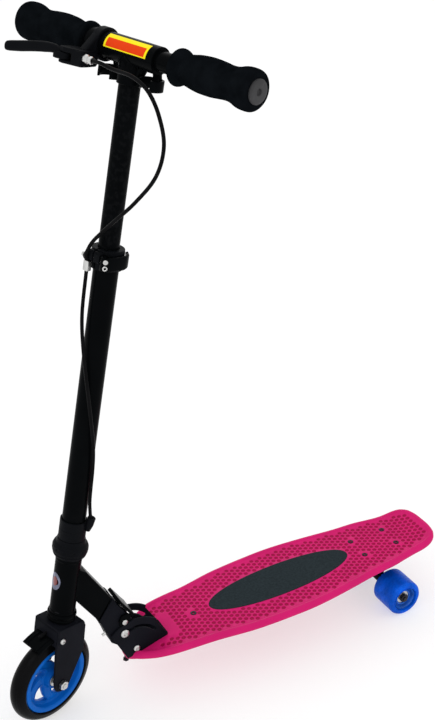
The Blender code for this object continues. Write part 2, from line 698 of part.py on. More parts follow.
def build_front_wheel(wheel, centre):
    """Makes the front wheel: rubber tyre, spoked rim and two bearings."""
    where = along(centre, (0, 1, 0))
    t = TYRE_TREAD_R
    tread = [(RIM_R + 2 * GAP, TYRE_HALF - 2.0), (RIM_R + 2.5, TYRE_HALF)]
    tread += [(TYRE_R - t + t * math.cos(a), (TYRE_HALF - 0.5) * math.sin(a))
              for a in (math.radians(d) for d in (62, 45, 30, 15, 0, -15, -30, -45, -62))]
    tread += [(RIM_R + 2.5, -TYRE_HALF), (RIM_R + 2 * GAP, 2.0 - TYRE_HALF)]
    lathe("front_tyre", tread, wheel, where, "rubber", 36, closed=True)
    seat = BEARING_R + GAP
    h = RIM_HALF
    floor = h - BEARING_W
    rim = [(AXLE_R + 2.0, floor), (seat, floor), (seat, h), (seat + 3.5, h), (seat + 5.5, 5.0),
           (RIM_WELL_R - 2.0, 4.0), (RIM_WELL_R, h - 1.0), (RIM_R - 1.0, h), (RIM_R, h - 2.5),
           (RIM_R, 2.5 - h), (RIM_R - 1.0, -h), (RIM_WELL_R, 1.0 - h), (RIM_WELL_R - 2.0, -4.0),
           (seat + 5.5, -5.0), (seat + 3.5, -h), (seat, -h), (seat, -floor), (AXLE_R + 2.0, -floor)]
    disc = lathe("front_rim", rim, wheel, where, "blue_rim", 32, closed=True)
    windows = []
    for i in range(WINDOWS):
        mid = 360.0 * i / WINDOWS + 20.0
        shape = arc((0.0, 0.0), RIM_WELL_R - 5.0, mid - 24.0, mid + 24.0, 4)
        shape += arc((0.0, 0.0), seat + 9.0, mid + 15.0, mid - 15.0, 2)
        windows.append(plate("rim_window_" + str(i), shape, 40.0, wheel, where, None))
    cut(disc, *windows)
    for name, sign in (("left", 1.0), ("right", -1.0)):
        ring("front_bearing_" + name, BEARING_R, AXLE_R + BEARING_GAP, h - BEARING_W + GAP, h, wheel,
             along(centre, (0, sign, 0)), "zinc_steel", 20)


def cable_route(axle_s):
    """Lists the brake cable's route, from its adjuster to the brake shoe."""
    route = [(40.0, -27.5, 976.0), (42.0, -12.0, 977.0), (43.0, 12.0, 975.0), (48.0, 50.0, 975.0),
             (50.0, 80.0, 965.0), (44.0, 97.0, 940.0), (36.0, 104.0, 905.0), (34.0, 96.0, 866.0),
             (32.0, 66.0, 825.0), (31.0, 31.0, 788.0), (31.5, 2.0, 755.0), (31.0, -7.0, 738.0),
             (31.0, -8.0, 722.0), (31.0, -8.0, 711.0), (31.0, -8.0, 700.0), (27.0, -7.5, 650.0),
             (24.0, 2.0, 600.0), (20.0, 16.0, 540.0), (8.0, 25.0, 480.0), (-4.0, 26.0, 430.0),
             (-11.0, 24.5, 385.0), (-12.5, 23.0, 356.0), (-12.0, 21.5, 343.0), (-10.0, 18.0, 331.0),
             (-6.0, 11.0, 318.0), (-2.5, 4.5, 304.0), (0.0, 0.0, 288.0), (0.0, 0.0, 250.0)]
    crown = axle_s + CROWN_UP
    route += [(0.0, 0.0, crown + 32.0), (1.0, 0.0, crown + 14.0), (4.5, 0.0, crown)]
    route += [(AXLE_F + BRAKE_F, 0.0, axle_s + BRAKE_UP + SHOE_SLEEVE_R + CABLE_R + 1.4)]
    for angle in (76.0, 68.0):
        reach = SHOE_R + SHOE_T + GAP + CABLE_R + 0.7
        route.append((AXLE_F + reach * math.cos(math.radians(angle)), 0.0,
                      axle_s + reach * math.sin(math.radians(angle))))
    return route


def build_steering(turn):
    """Makes what turns with the fork, and the wheel and brake in it."""
    axle_s = STEER["axle_s"]
    centre = (AXLE_F, 0.0, axle_s)
    leg = [(20.0, CROWN_UP), (-29.0, CROWN_UP), (-33.5, 91.0), (-36.0, 49.0), (-15.0, -6.0),
           (-8.0, -12.5), (1.0, -14.0), (9.0, -11.0), (13.5, -3.0), (16.0, 14.0), (20.0, 59.0)]
    shell = [(AXLE_F + f, axle_s + s) for f, s in leg]
    fork = plate("fork", shell, 2 * FORK_HALF, turn, side(), "black_paint", 1.2)
    opening = [(-90.0, axle_s - 60.0), (90.0, axle_s - 60.0), (90.0, axle_s + CHANNEL_UP),
               (-90.0, axle_s + CHANNEL_UP)]
    channel = plate("fork_channel", opening, 2 * (FORK_HALF - FORK_WALL), turn, side(), None)
    cut(fork, channel)
    steerer = rod("fork_steerer", STEERER_R, axle_s + CROWN_UP - 3.0, STEERER_TOP, turn, Matrix(), None, 32)
    join(fork, steerer)
    hollow = drill("fork_hollow", STEERER_BORE, axle_s, STEERER_TOP + 5.0, turn, Matrix(), 24)
    axle_hole = drill("fork_axle_hole", AXLE_R + BEARING_GAP, -60.0, 60.0, turn,
                    along(centre, (0, 1, 0)), 16)
    brake_at = (AXLE_F + BRAKE_F, 0.0, axle_s + BRAKE_UP)
    brake_hole = drill("fork_brake_hole", BRAKE_BOLT_R + GAP, -60.0, 60.0, turn,
                     along(brake_at, (0, 1, 0)), 12)

    path = smooth_route(cable_route(axle_s), 14.0)
    inside = [point for point in path if 285.0 < point.z < 375.0]
    way = cord_cutter("cable_way", inside, CABLE_R + 0.6, turn)
    outlet = [point for point in path if point.z < 210.0]
    crown_way = cord_cutter("crown_way", outlet, CABLE_R + 0.8, turn)
    cut(fork, hollow, axle_hole, brake_hole, way, crown_way)

    column = ring("column_tube", COLUMN_R, STEERER_R + GAP, RING_TOP + 2 * GAP + 1.0, COLUMN_TOP, turn,
                  Matrix(), "black_paint", 28)
    cut(column, way)
    ring("locknut_ring", RING_R, STEERER_R + GAP, HEAD_HIGH + GAP, RING_TOP, turn, Matrix(),
         "black_plastic", 28, 2.5)
    sleeve = ring("cable_port_sleeve", SLEEVE_R, COLUMN_R + GAP, RING_TOP + GAP, SLEEVE_TOP, turn,
                  Matrix(), "black_plastic", 24, 1.0)
    lug = rod("port_lug", 6.0, -14.0, 9.0, turn, along((-11.6, 20.8, 339.0), (-0.09, 0.17, 1.0)), None, 12, 1.0)
    lug_core = ring("port_lug_inner", 60.0, SLEEVE_R - 1.2, 300.0, 370.0, turn, Matrix(), None, 24)
    sleeve_bore = drill("port_bore", COLUMN_R + GAP, 290.0, 380.0, turn, Matrix(), 24)
    lug.modifiers.new("trim", "BOOLEAN")
    lug.modifiers["trim"].operation = "INTERSECT"
    lug.modifiers["trim"].solver = "EXACT"
    lug.modifiers["trim"].object = lug_core
    join(sleeve, lug)
    combine(sleeve, [sleeve_bore, way], "DIFFERENCE")

    collar = [(UPPER_R + GAP, CLAMP_TOP), (CLAMP_R - 1.0, CLAMP_TOP), (CLAMP_R, CLAMP_TOP - 1.0),
              (CLAMP_R, CLAMP_LOW + 1.0), (CLAMP_R - 1.0, CLAMP_LOW), (COLUMN_R + GAP, CLAMP_LOW),
              (COLUMN_R + GAP, COLUMN_TOP + GAP), (UPPER_R + GAP, COLUMN_TOP + GAP)]
    clamp = lathe("height_clamp", collar, turn, Matrix(), "black_plastic", 32, closed=True)
    ears = box("clamp_ears", (COLUMN_R + 1.3, -EAR_RIGHT, SKEWER_S - 8.0), (28.0, EAR_LEFT, SKEWER_S + 8.0), turn, None)
    slit = box("clamp_slit", (10.0, -1.0, CLAMP_LOW - 5.0), (40.0, 1.0, CLAMP_TOP + 5.0), turn, None)
    skewer_at = (SKEWER_F, 0.0, SKEWER_S)
    skewer_hole = drill("clamp_hole", SKEWER_R + GAP, -40.0, 40.0, turn, along(skewer_at, (0, 1, 0)), 16)
    join(clamp, ears)
    cut(clamp, slit, skewer_hole)
    nut = -EAR_RIGHT - GAP
    profile = [(0.0, CAM_Y + 2.5), (SKEWER_R, CAM_Y + 2.5), (SKEWER_R, nut), (6.0, nut),
               (6.0, nut - 8.0), (4.8, nut - 8.5), (4.8, nut - 14.5), (SKEWER_R, nut - 15.5),
               (SKEWER_R, nut - 17.5), (0.0, nut - 17.5)]
    skewer = lathe("clamp_skewer", profile, turn, along(skewer_at, (0, 1, 0)), "zinc_steel", 16)
    cross = rod("skewer_cross", 2.4, -11.0, 11.0, turn, at(SKEWER_F, CAM_Y, SKEWER_S), None, 16)
    join(skewer, cross)

    guide = box("cable_guide", (23.5, -14.0, SKEWER_S - 20.0), (35.5, -2.0, SKEWER_S - 8.0 - GAP), turn,
                "zinc_steel", 1.0)
    guide_hole = drill("guide_hole", CABLE_R + GAP, -40.0, 40.0, turn, at(31.0, -8.0, SKEWER_S - 14.0), 12)
    cut(guide, guide_hole)

    end = FORK_HALF + GAP
    half = [(AXLE_R, end), (6.5, end), (6.5, end + 6.5), (AXLE_R, end + 6.5)]
    profile = [(0.0, end + 8.5), (AXLE_R, end + 8.5)] + [(r, s) for r, s in reversed(half)]
    profile += [(r, -s) for r, s in half] + [(AXLE_R, -end - 8.5), (0.0, -end - 8.5)]
    lathe("front_axle", profile, turn, along(centre, (0, 1, 0)), "zinc_steel", 12)
    inner = FORK_HALF - FORK_WALL - GAP
    for name, sign in (("left", 1.0), ("right", -1.0)):
        ring("axle_spacer_" + name, 7.0, AXLE_R + BEARING_GAP, RIM_HALF + GAP, inner, turn,
             along(centre, (0, sign, 0)), "black_plastic", 20)
    bolt("brake_bolt", FORK_HALF + GAP, 4.6, 2.6, BRAKE_BOLT_R, 2 * (FORK_HALF + GAP), 4.4, 4.0, turn,
         along(brake_at, (0, 1, 0)), "zinc_steel")

    shoe_axis = frame("brake_axis", turn, brake_at)
    start = math.degrees(math.atan2(BRAKE_UP, BRAKE_F))
    band = arc(centre[::2], SHOE_R + SHOE_T, start, 54.0, 8) + arc(centre[::2], SHOE_R, 54.0, start, 8)
    shoe = plate("brake_shoe", band, 2 * SHOE_HALF, shoe_axis, side(), "black_paint", SMALL_BEVEL)
    shoe_sleeve = rod("shoe_sleeve", SHOE_SLEEVE_R, -SHOE_HALF - 2.0, SHOE_HALF + 2.0, shoe_axis,
                      along(brake_at, (0, 1, 0)), None, 20)
    shoe_bore = drill("shoe_bore", BRAKE_BOLT_R + GAP, -40.0, 40.0, shoe_axis, along(brake_at, (0, 1, 0)), 16)
    join(shoe, shoe_sleeve)
    combine(shoe, [shoe_bore], "DIFFERENCE")

    cam = frame("clamp_lever_axis", turn, (SKEWER_F, CAM_Y, SKEWER_S))
    outer = arc((SKEWER_F, CAM_Y), 8.0, 20.0, -110.0, 6)
    inner_side = [(10.5, 22.0), (3.0, 26.0), (-6.0, 24.5), (-14.0, 19.0), (-19.5, 12.0)]
    outer_side = [(-24.5, 14.5), (-17.5, 24.5), (-8.0, 30.5), (3.0, 32.5), (14.0, 31.0)]
    blade = plate("clamp_lever", outer + inner_side + outer_side, 18.0, cam,
                  at(0.0, 0.0, SKEWER_S), "black_paint", 1.0)
    fork_slot = drill("lever_slot", 9.4, -SKEWER_R - 0.6, SKEWER_R + 0.6, cam,
                    at(SKEWER_F, CAM_Y, SKEWER_S), 24)
    pin_hole = drill("lever_pin_hole", 2.4 + GAP, -20.0, 20.0, cam, at(SKEWER_F, CAM_Y, SKEWER_S), 16)
    cut(blade, fork_slot, pin_hole)

    wheel = frame("front_wheel", turn, centre)
    build_front_wheel(wheel, centre)

    data = cord_curve("brake_cable", path, CABLE_R)
    weld(make("brake_cable", data, turn, Matrix(), "cable_jacket"))


def build_handlebar(bar):
    """Makes the telescoping handlebar with its grips and brake lever."""
    low_end = TEE_S - TEE_R + 1.0
    ring("upper_tube", UPPER_R, UPPER_R - 2.0, UPPER_LOW, low_end - GAP, bar, Matrix(), "black_paint", 20)
    middle = (TEE_LEFT - TEE_RIGHT) / 2
    length = TEE_LEFT + TEE_RIGHT
    tee = rod("tee_bar", TEE_R, middle - length / 2, middle + length / 2, bar,
              along((0.0, 0.0, TEE_S), (0, 1, 0)), "black_paint", 28)
    socket = rod("tee_socket", TEE_R, SOCKET_LOW, TEE_S, bar, Matrix(), None, 24)
    gusset = plate("tee_gusset", [(-27.0, TEE_S - 8.0), (27.0, TEE_S - 8.0), (15.0, TEE_S - 31.0),
                                  (-15.0, TEE_S - 31.0)], 14.0, bar,
                   Matrix.Rotation(math.pi / 2, 4, "Z") @ side(), None, 2.0)
    join(tee, socket, gusset)
    for name, sign in (("left", 1.0), ("right", -1.0)):
        y = sign * 35.0
        c_shape = arc((0.0, y), 16.5, 40.0, 320.0, 12) + arc((0.0, y), 13.3, 320.0, 40.0, 12)
        hook = plate("tee_clip_" + name, c_shape, 20.0, bar, at(0.0, 0.0, SOCKET_LOW + 4.0), None)
        stem = plate("tee_clip_stem_" + name,
                     [(-15.8, SOCKET_LOW + 2.0), (-11.0, SOCKET_LOW + 2.0), (-6.0, TEE_S - 15.5),
                      (-11.0, TEE_S - 14.0)], 12.0, bar, side(y), None)
        join(tee, hook, stem)
    bore = drill("tee_bore", GRIP_TUBE_R + GAP, -120.0, 120.0, bar, along((0.0, 0.0, TEE_S), (0, 1, 0)), 24)
    socket_bore = drill("socket_bore", UPPER_R + GAP, SOCKET_LOW - 5.0, low_end, bar, Matrix(), 32)
    left_hole = drill("left_button_hole", BUTTON_R + GAP, 0.0, 40.0, bar,
                    along((0.0, TEE_LEFT - BUTTON_INSET, TEE_S), (-1, 0, 0)), 16)
    right_hole = drill("right_button_hole", BUTTON_R + GAP, 0.0, 40.0, bar,
                     along((0.0, BUTTON_INSET - TEE_RIGHT, TEE_S), (-1, 0, 0)), 16)
    combine(tee, [bore, socket_bore, left_hole, right_hole], "DIFFERENCE")

    for name, sign, edge in (("left", 1.0, TEE_LEFT), ("right", -1.0, TEE_RIGHT)):
        pull = frame("grip_" + name, bar, (0.0, sign * GRIP_START, TEE_S))
        where = along((0.0, 0.0, TEE_S), (0, sign, 0))
        tube = ring("grip_tube_" + name, GRIP_TUBE_R, GRIP_TUBE_R - 2.0, 8.0, GRIP_END - 2.0, pull,
                    where, "dark_steel", 20)
        spot = (0.0, sign * (edge - BUTTON_INSET), TEE_S)
        hole = drill("grip_hole_" + name, BUTTON_R + GAP, 0.0, 40.0, pull, along(spot, (-1, 0, 0)), 16)
        cut(tube, hole)
        r = GRIP_TUBE_R + GAP
        foam = [(r, GRIP_START), (22.0, GRIP_START), (22.5, GRIP_START + 1.5), (22.0, GRIP_START + 6.0),
                (18.5, GRIP_START + 10.0), (18.0, GRIP_START + 15.0), (20.0, GRIP_START + 26.0),
                (22.0, GRIP_START + 40.0), (22.0, GRIP_START + 62.0), (20.5, GRIP_START + 78.0),
                (20.5, GRIP_START + 92.0), (22.5, GRIP_START + 100.0), (25.5, GRIP_START + 108.0),
                (25.5, GRIP_END - 6.0), (23.5, GRIP_END - 2.0), (r, GRIP_END - 2.0)]
        lathe("grip_foam_" + name, list(reversed(foam)), pull, where, "foam", 20, closed=True)
        cap = [(0.0, GRIP_END + 2.0), (13.5, GRIP_END + 2.0), (15.0, GRIP_END + 0.6),
               (15.0, GRIP_END - 2.0 + GAP), (GRIP_TUBE_R - 2.0 - GAP, GRIP_END - 2.0 + GAP),
               (GRIP_TUBE_R - 2.0 - GAP, GRIP_END - 16.0), (0.0, GRIP_END - 16.0)]
        lathe("grip_plug_" + name, cap, pull, where, "black_plastic", 24)
        press = frame("button_" + name, pull, spot)
        dome = [(0.0, TEE_R + 1.6), (1.6, TEE_R + 1.2), (BUTTON_R, TEE_R - 0.4), (BUTTON_R, 9.0),
                (BUTTON_R + 1.2, 9.0), (BUTTON_R + 1.2, 7.6), (0.0, 7.6)]
        lathe("snap_button_" + name, dome, press, along(spot, (-1, 0, 0)), "zinc_steel", 12)

    clamp_y = -52.0
    perch = ring("lever_perch", TEE_R + 4.0, TEE_R + GAP, -6.0, 6.0, bar,
                 along((0.0, clamp_y, TEE_S), (0, 1, 0)), "black_plastic", 20, 1.0)
    px, py, pz = LEVER_PIVOT
    arm = [(14.0, clamp_y + 6.0), (14.0, clamp_y - 6.0), (px - 14.0, py - 7.0), (px + 5.0, py - 7.0),
           (px + 6.5, py + 2.0), (px - 1.0, clamp_y + 9.0), (px - 12.0, clamp_y + 9.0)]
    arm_body = plate("perch_arm", arm, 17.0, bar, at(0.0, 0.0, 974.0), None, 1.0)
    perch_bore = drill("perch_bore", TEE_R + GAP, -60.0, 60.0, bar, along((0.0, clamp_y, TEE_S), (0, 1, 0)), 20)
    mouth = [(px - 9.5, py - 40.0), (px + 30.0, py - 40.0), (px + 30.0, py + 8.0), (px - 9.5, py + 8.0)]
    mouth_cut = plate("perch_mouth", mouth, 9.6, bar, at(0.0, 0.0, 973.0), None)
    cable_in = drill("perch_cable_hole", 3.3, -10.0, 60.0, bar, along((40.0, clamp_y, 976.0), (0, 1, 0)), 12)
    join(perch, arm_body)
    combine(perch, [perch_bore, mouth_cut, cable_in], "DIFFERENCE")
    pivot_pin = rod("perch_pin", 2.4, -9.5, 9.5, bar, at(px, py, 974.0), None, 12)
    join(perch, pivot_pin)
    foot = clamp_y + 9.0 + GAP
    adjuster = [(2.8, -27.8), (4.4, -27.8), (4.4, -32.6), (3.8, -33.2), (3.8, -35.6), (5.0, -36.2),
                (5.0, foot + 2.6), (4.2, foot + 2.0), (4.2, foot), (2.8, foot)]
    lathe("cable_adjuster", adjuster, bar, along((40.0, 0.0, 976.0), (0, 1, 0)), "zinc_steel", 16, closed=True)

    swing = frame("brake_lever_axis", bar, LEVER_PIVOT)
    inner_side = [(px + 6.0, py - 12.0), (px + 6.0, py - 40.0), (px + 9.0, py - 70.0), (px + 10.5, py - 92.0)]
    outer_side = [(px + 15.5, py - 93.0), (px + 15.0, py - 70.0), (px + 13.0, py - 40.0), (px + 11.5, py - 12.0)]
    shape = arc((px, py), 6.5, 90.0, 250.0, 8) + inner_side + outer_side + [(px + 7.0, py + 1.0)]
    blade = plate("brake_lever", shape, 9.0, swing, at(0.0, 0.0, 973.0), "black_paint", 1.2)
    eye = drill("brake_lever_eye", 2.4 + GAP, -20.0, 20.0, swing, at(px, py, 973.0), 12)
    cut(blade, eye)


STEER = {}


def main():
    """Builds the whole scooter and centres it on its own footprint."""
    clear_scene()
    STORE["parts"] = collection("three_wheel_kick_scooter")
    STORE["cutters"] = collection("cutters")
    turned = math.cos(STEER_TURN)
    lean = math.sin(STEER_TURN) * math.sin(RAKE)
    crown = TYRE_TREAD_R
    drop = (TYRE_R - crown) * math.sqrt(1.0 - lean * lean) + crown
    STEER["axle_s"] = (drop - AXLE_F * turned * math.sin(RAKE)) / math.cos(RAKE)

    root = frame("scooter", None, (0.0, 0.0, 0.0))
    build_deck(root)
    build_truck(root)
    fold = frame("fold_axis", root, (PIVOT[0], 0.0, PIVOT[1]))
    build_neck(fold)
    lean_back = Matrix.Rotation(-RAKE, 4, "Y")
    base = frame("steer_axis", fold, (AXIS_FOOT_X, 0.0, 0.0), lean_back)
    turn = frame("steering", base, (0.0, 0.0, 0.0), Matrix.Rotation(STEER_TURN, 4, "Z"))
    build_steering(turn)
    bar = frame("handlebar", turn, (0.0, 0.0, CLAMP_TOP))
    build_handlebar(bar)

    bpy.context.view_layer.update()
    graph = bpy.context.evaluated_depsgraph_get()
    reach = []
    for item in STORE["parts"].objects:
        if item.type != "EMPTY":
            shown = item.evaluated_get(graph)
            mesh = shown.to_mesh()
            reach += [(shown.matrix_world @ vertex.co).x for vertex in mesh.vertices]
            shown.to_mesh_clear()
    root.location.x = -round((min(reach) + max(reach)) / 2, 4)
    bpy.context.view_layer.update()


if __name__ == "__main__":
    main()
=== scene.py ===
"""Looks for the three-wheel kick scooter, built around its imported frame.

Every piece is a surface worked out with numpy in millimetres, in one of two frames: SCOOTER (forward, left, up) for
the deck, the truck and the neck, and STEER (forward, left and along the steering axis) for what turns with the fork.
"""

import functools
import json
import logging
import math
from dataclasses import dataclass, field
from enum import Enum

import bmesh
import bpy
import numpy as np
from mathutils import Matrix, Vector
from mathutils.geometry import delaunay_2d_cdt, tessellate_polygon

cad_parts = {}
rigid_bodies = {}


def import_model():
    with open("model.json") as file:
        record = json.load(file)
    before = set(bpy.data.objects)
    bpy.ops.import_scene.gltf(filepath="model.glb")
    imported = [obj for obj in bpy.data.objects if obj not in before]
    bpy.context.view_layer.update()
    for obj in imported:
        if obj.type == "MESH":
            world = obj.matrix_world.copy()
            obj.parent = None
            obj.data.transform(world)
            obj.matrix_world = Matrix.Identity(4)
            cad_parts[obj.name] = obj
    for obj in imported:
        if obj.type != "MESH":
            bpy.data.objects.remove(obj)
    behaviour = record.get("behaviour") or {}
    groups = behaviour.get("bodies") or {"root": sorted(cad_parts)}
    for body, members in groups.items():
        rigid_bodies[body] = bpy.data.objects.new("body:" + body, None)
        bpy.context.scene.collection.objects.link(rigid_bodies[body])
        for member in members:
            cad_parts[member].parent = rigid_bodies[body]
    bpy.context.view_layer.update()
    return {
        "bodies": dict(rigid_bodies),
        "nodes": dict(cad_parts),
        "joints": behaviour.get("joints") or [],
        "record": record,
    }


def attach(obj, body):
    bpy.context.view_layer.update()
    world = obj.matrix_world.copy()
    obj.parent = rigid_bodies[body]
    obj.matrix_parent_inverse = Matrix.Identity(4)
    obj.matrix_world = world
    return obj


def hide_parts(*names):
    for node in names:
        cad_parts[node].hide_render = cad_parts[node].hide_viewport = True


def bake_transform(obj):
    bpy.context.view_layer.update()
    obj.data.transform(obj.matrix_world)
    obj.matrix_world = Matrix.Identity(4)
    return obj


Array = np.ndarray
Point = tuple[float, float, float]
Socket = bpy.types.NodeSocket
MM = 0.001
TURN = 2 * math.pi
RAKE = math.radians(10.97)
UP = (-math.sin(RAKE), 0.0, math.cos(RAKE))
AHEAD = (math.cos(RAKE), 0.0, math.sin(RAKE))
ACROSS, RISE = (0, 1, 0), (0, 0, 1)
SIDES = (("left", 1.0), ("right", -1.0))
SPAN_STEPS = 24  # points read in each span of a smooth curve
SHORT_SIDE = 0.42  # largest share of a side that a corner's arc takes
HOLD = 0.12  # distance of a holding point off an arc, over the arc's tangent length
LEAST_TAN = 0.05  # keeps the tangent length of a nearly straight corner finite
LEAST_NORMAL = 0.8  # keeps the sharp corners of an inset outline from running away
EDGE_STEPS = 5  # rings over a plate's rounded edge
EDGE_SHARE = 0.45  # largest share of a plate's thickness that one rounded edge takes
LAND = 1.35  # inset of a plate's flat face, over the radius of its edge
WELD = 0.000002  # metres between points that become one
TINY = 0.0000005  # metres of the shortest edge
PART = 4000  # points measured at a time
COAT_ROUGH = 0.12  # roughness of a clear coat
GLOSS_SCALE = 6.0  # how much finer the clouds in the gloss are than those in the colour
WEAR_SCALE = 160.0  # worn spots a metre
CLOUDS = (0.3, 0.7)  # the part of a noise that is stretched over a whole range
SHARP = (0.6, 0.72)  # pointiness where wear starts and where it is full
SPOTS = (0.48, 0.6)  # noise where a worn spot starts and where it is full
WHITE = (1.0, 1.0, 1.0, 1.0)
LOG = logging.getLogger("scooter")


@dataclass(frozen=True)
class Frame:
    """An origin in row millimetres and three unit axes."""

    origin: Point
    axes: tuple[Point, Point, Point] = ((1, 0, 0), (0, 1, 0), (0, 0, 1))

    def row(self, points: Array) -> Array:
        """Gives row metres for points in this frame: origin plus each coordinate times its axis."""
        return (np.asarray(self.origin) + np.asarray(points, float) @ np.asarray(self.axes)) * MM


SCOOTER = Frame((313.4, 0.0, 0.0))
STEER = Frame((320.3, 0.0, 0.0), ((0.931540, 0.315649, 0.180567), (-0.309881, 0.948878, -0.060066),
                                  (-0.190295, 0.0, 0.981727)))


class Lay(Enum):
    """Which way a flat outline lies: (a, b) are its coordinates and t runs through it."""

    SIDE = (0, 2, 1)
    TOP = (0, 1, 2)
    FRONT = (1, 2, 0)


def smooth_line(points: Array, count: int, closed: bool = False) -> Array:
    """Reads a Catmull-Rom curve at equal steps of its own length.

    Each span is the cubic 0.5 (2b + (c-a)t + (2a-5b+4c-d)t^2 + (3b-a-3c+d)t^3) between b and c.

    Args:
        points: Points the curve passes, one row each.
        count: Number of points wanted.
        closed: Whether the curve runs back into its start.

    Returns:
        An array of count points.
    """
    p = np.asarray(points, float)
    if closed:
        p = np.vstack([p[-1:], p, p[:2]])
    else:
        p = np.vstack([2 * p[0] - p[1], p, 2 * p[-1] - p[-2]])
    t = np.linspace(0.0, 1.0, SPAN_STEPS + 1)[:-1][None, :, None]
    a, b, c, d = (p[k:len(p) - 3 + k][:, None, :] for k in range(4))
    dense = 0.5 * (2 * b + (c - a) * t + (2 * a - 5 * b + 4 * c - d) * t ** 2 + (3 * b - a - 3 * c + d) * t ** 3)
    dense = np.vstack([dense.reshape(-1, p.shape[1]), p[-2:-1]])
    walked = np.concatenate([[0.0], np.cumsum(np.linalg.norm(np.diff(dense, axis=0), axis=1))])
    at = np.linspace(0.0, walked[-1], count + 1)[:-1] if closed else np.linspace(0.0, walked[-1], count)
    return np.stack([np.interp(at, walked, dense[:, k]) for k in range(p.shape[1])], axis=1)


def hermite(x: Array, xs: Array, ys: Array) -> Array:
    """Reads a smooth curve through table rows: a cubic Hermite with the mean slope at each row.

    Args:
        x: Places to read.
        xs: Rising places of the table.
        ys: Values of the table.

    Returns:
        The values at x.
    """
    slope = np.gradient(ys, xs)
    x = np.clip(x, xs[0], xs[-1])
    i = np.clip(np.searchsorted(xs, x) - 1, 0, len(xs) - 2)
    h = xs[i + 1] - xs[i]
    t = (x - xs[i]) / h
    return ((1 + 2 * t) * (1 - t) ** 2 * ys[i] + t * (1 - t) ** 2 * h * slope[i]
            + t * t * (3 - 2 * t) * ys[i + 1] + t * t * (t - 1) * h * slope[i + 1])


def rounded(points: list, radius: float, closed: bool = True, steps: int = 5) -> Array:
    """Rounds a polygon's corners: each corner becomes a quadratic arc between two points one tangent length off it.

    Args:
        points: Corners of the polygon.
        radius: Radius of the corners, cut down where a side is short.
        closed: Whether the last corner joins the first.
        steps: Points on each arc.

    Returns:
        The dense outline, with a holding point just outside each arc.
    """
    p = np.asarray(points, float)
    before, after = np.roll(p, 1, axis=0) - p, np.roll(p, -1, axis=0) - p
    la, lb = np.linalg.norm(before, axis=1), np.linalg.norm(after, axis=1)
    u, v = before / la[:, None], after / lb[:, None]
    half = 0.5 * np.arccos(np.clip((u * v).sum(1), -1.0, 1.0))
    tangent = np.minimum(radius / np.maximum(np.tan(half), LEAST_TAN), SHORT_SIDE * np.minimum(la, lb))[:, None, None]
    t = np.linspace(0.0, 1.0, steps)[None, :, None]
    start, end = p[:, None] + u[:, None] * tangent, p[:, None] + v[:, None] * tangent
    arcs = (1 - t) ** 2 * start + 2 * t * (1 - t) * p[:, None] + t * t * end
    hold = HOLD * tangent
    arcs = np.concatenate([start + u[:, None] * hold, arcs, end + v[:, None] * hold], axis=1)
    if closed:
        return arcs.reshape(-1, p.shape[1])
    return np.vstack([p[:1], arcs[1:-1].reshape(-1, p.shape[1]), p[-1:]])


def arc(centre: tuple, radius: float, start: float, end: float, steps: int) -> Array:
    """Gives points on an arc between two angles in degrees: centre plus radius times (cos, sin)."""
    angle = np.radians(np.linspace(start, end, steps + 1))
    return np.asarray(centre) + radius * np.stack([np.cos(angle), np.sin(angle)], axis=1)


def circle(count: int) -> Array:
    """Gives angles at equal steps round a full turn."""
    return np.linspace(0.0, TURN, count, endpoint=False)


def hole(centre: tuple, radius: float, steps: int) -> Array:
    """Gives the outline of a round hole."""
    return arc(centre, radius, 0, 360, steps)[:-1]


def mirrored(rows: list) -> list:
    """Gives a profile followed by its own mirror image at height 0, so that it runs on in one line."""
    return [*rows, *((r, -h) for r, h in rows[::-1])]


def capped(grid: Array, line: Array) -> Array:
    """Closes a grid of rings with a last ring at each end that is drawn together into the line's end point."""
    return np.concatenate([np.broadcast_to(line[0], (1, *grid.shape[1:])), grid,
                           np.broadcast_to(line[-1], (1, *grid.shape[1:]))])


def inset(loop: Array, depth: float) -> Array:
    """Moves a closed outline to its left: each point by twice the depth times the sum n of its two sides' normals over
    n squared.

    Args:
        loop: The outline.
        depth: How far it moves.

    Returns:
        The moved outline.
    """
    ahead = np.roll(loop, -1, axis=0) - loop
    ahead /= np.maximum(np.linalg.norm(ahead, axis=1), 1e-9)[:, None]
    behind = np.roll(ahead, 1, axis=0)
    normal = np.stack([-(ahead[:, 1] + behind[:, 1]), ahead[:, 0] + behind[:, 0]], axis=1)
    return loop + depth * 2.0 * normal / np.maximum((normal ** 2).sum(1), LEAST_NORMAL)[:, None]


def wound(loop: Array, left: bool) -> Array:
    """Turns an outline so that it runs anticlockwise (left) or clockwise, by the sign of its area.

    Args:
        loop: The outline.
        left: Whether it is to run anticlockwise.

    Returns:
        The outline, reversed where it ran the other way.
    """
    x, y = loop[:, 0], loop[:, 1]
    area = (x * np.roll(y, -1) - np.roll(x, -1) * y).sum()
    return loop if (area > 0) == left else loop[::-1]


def square_to(direction: Point) -> tuple[Array, Array, Array]:
    """Gives a unit direction and two unit vectors square to it, by cross products.

    Args:
        direction: A direction of any length.

    Returns:
        The unit direction and the two others.
    """
    d = np.asarray(direction, float)
    d = d / np.linalg.norm(d)
    other = np.array([0.0, 0.0, 1.0]) if abs(d[2]) < 0.9 else np.array([1.0, 0.0, 0.0])
    a = np.cross(other, d)
    a /= np.linalg.norm(a)
    return d, a, np.cross(d, a)


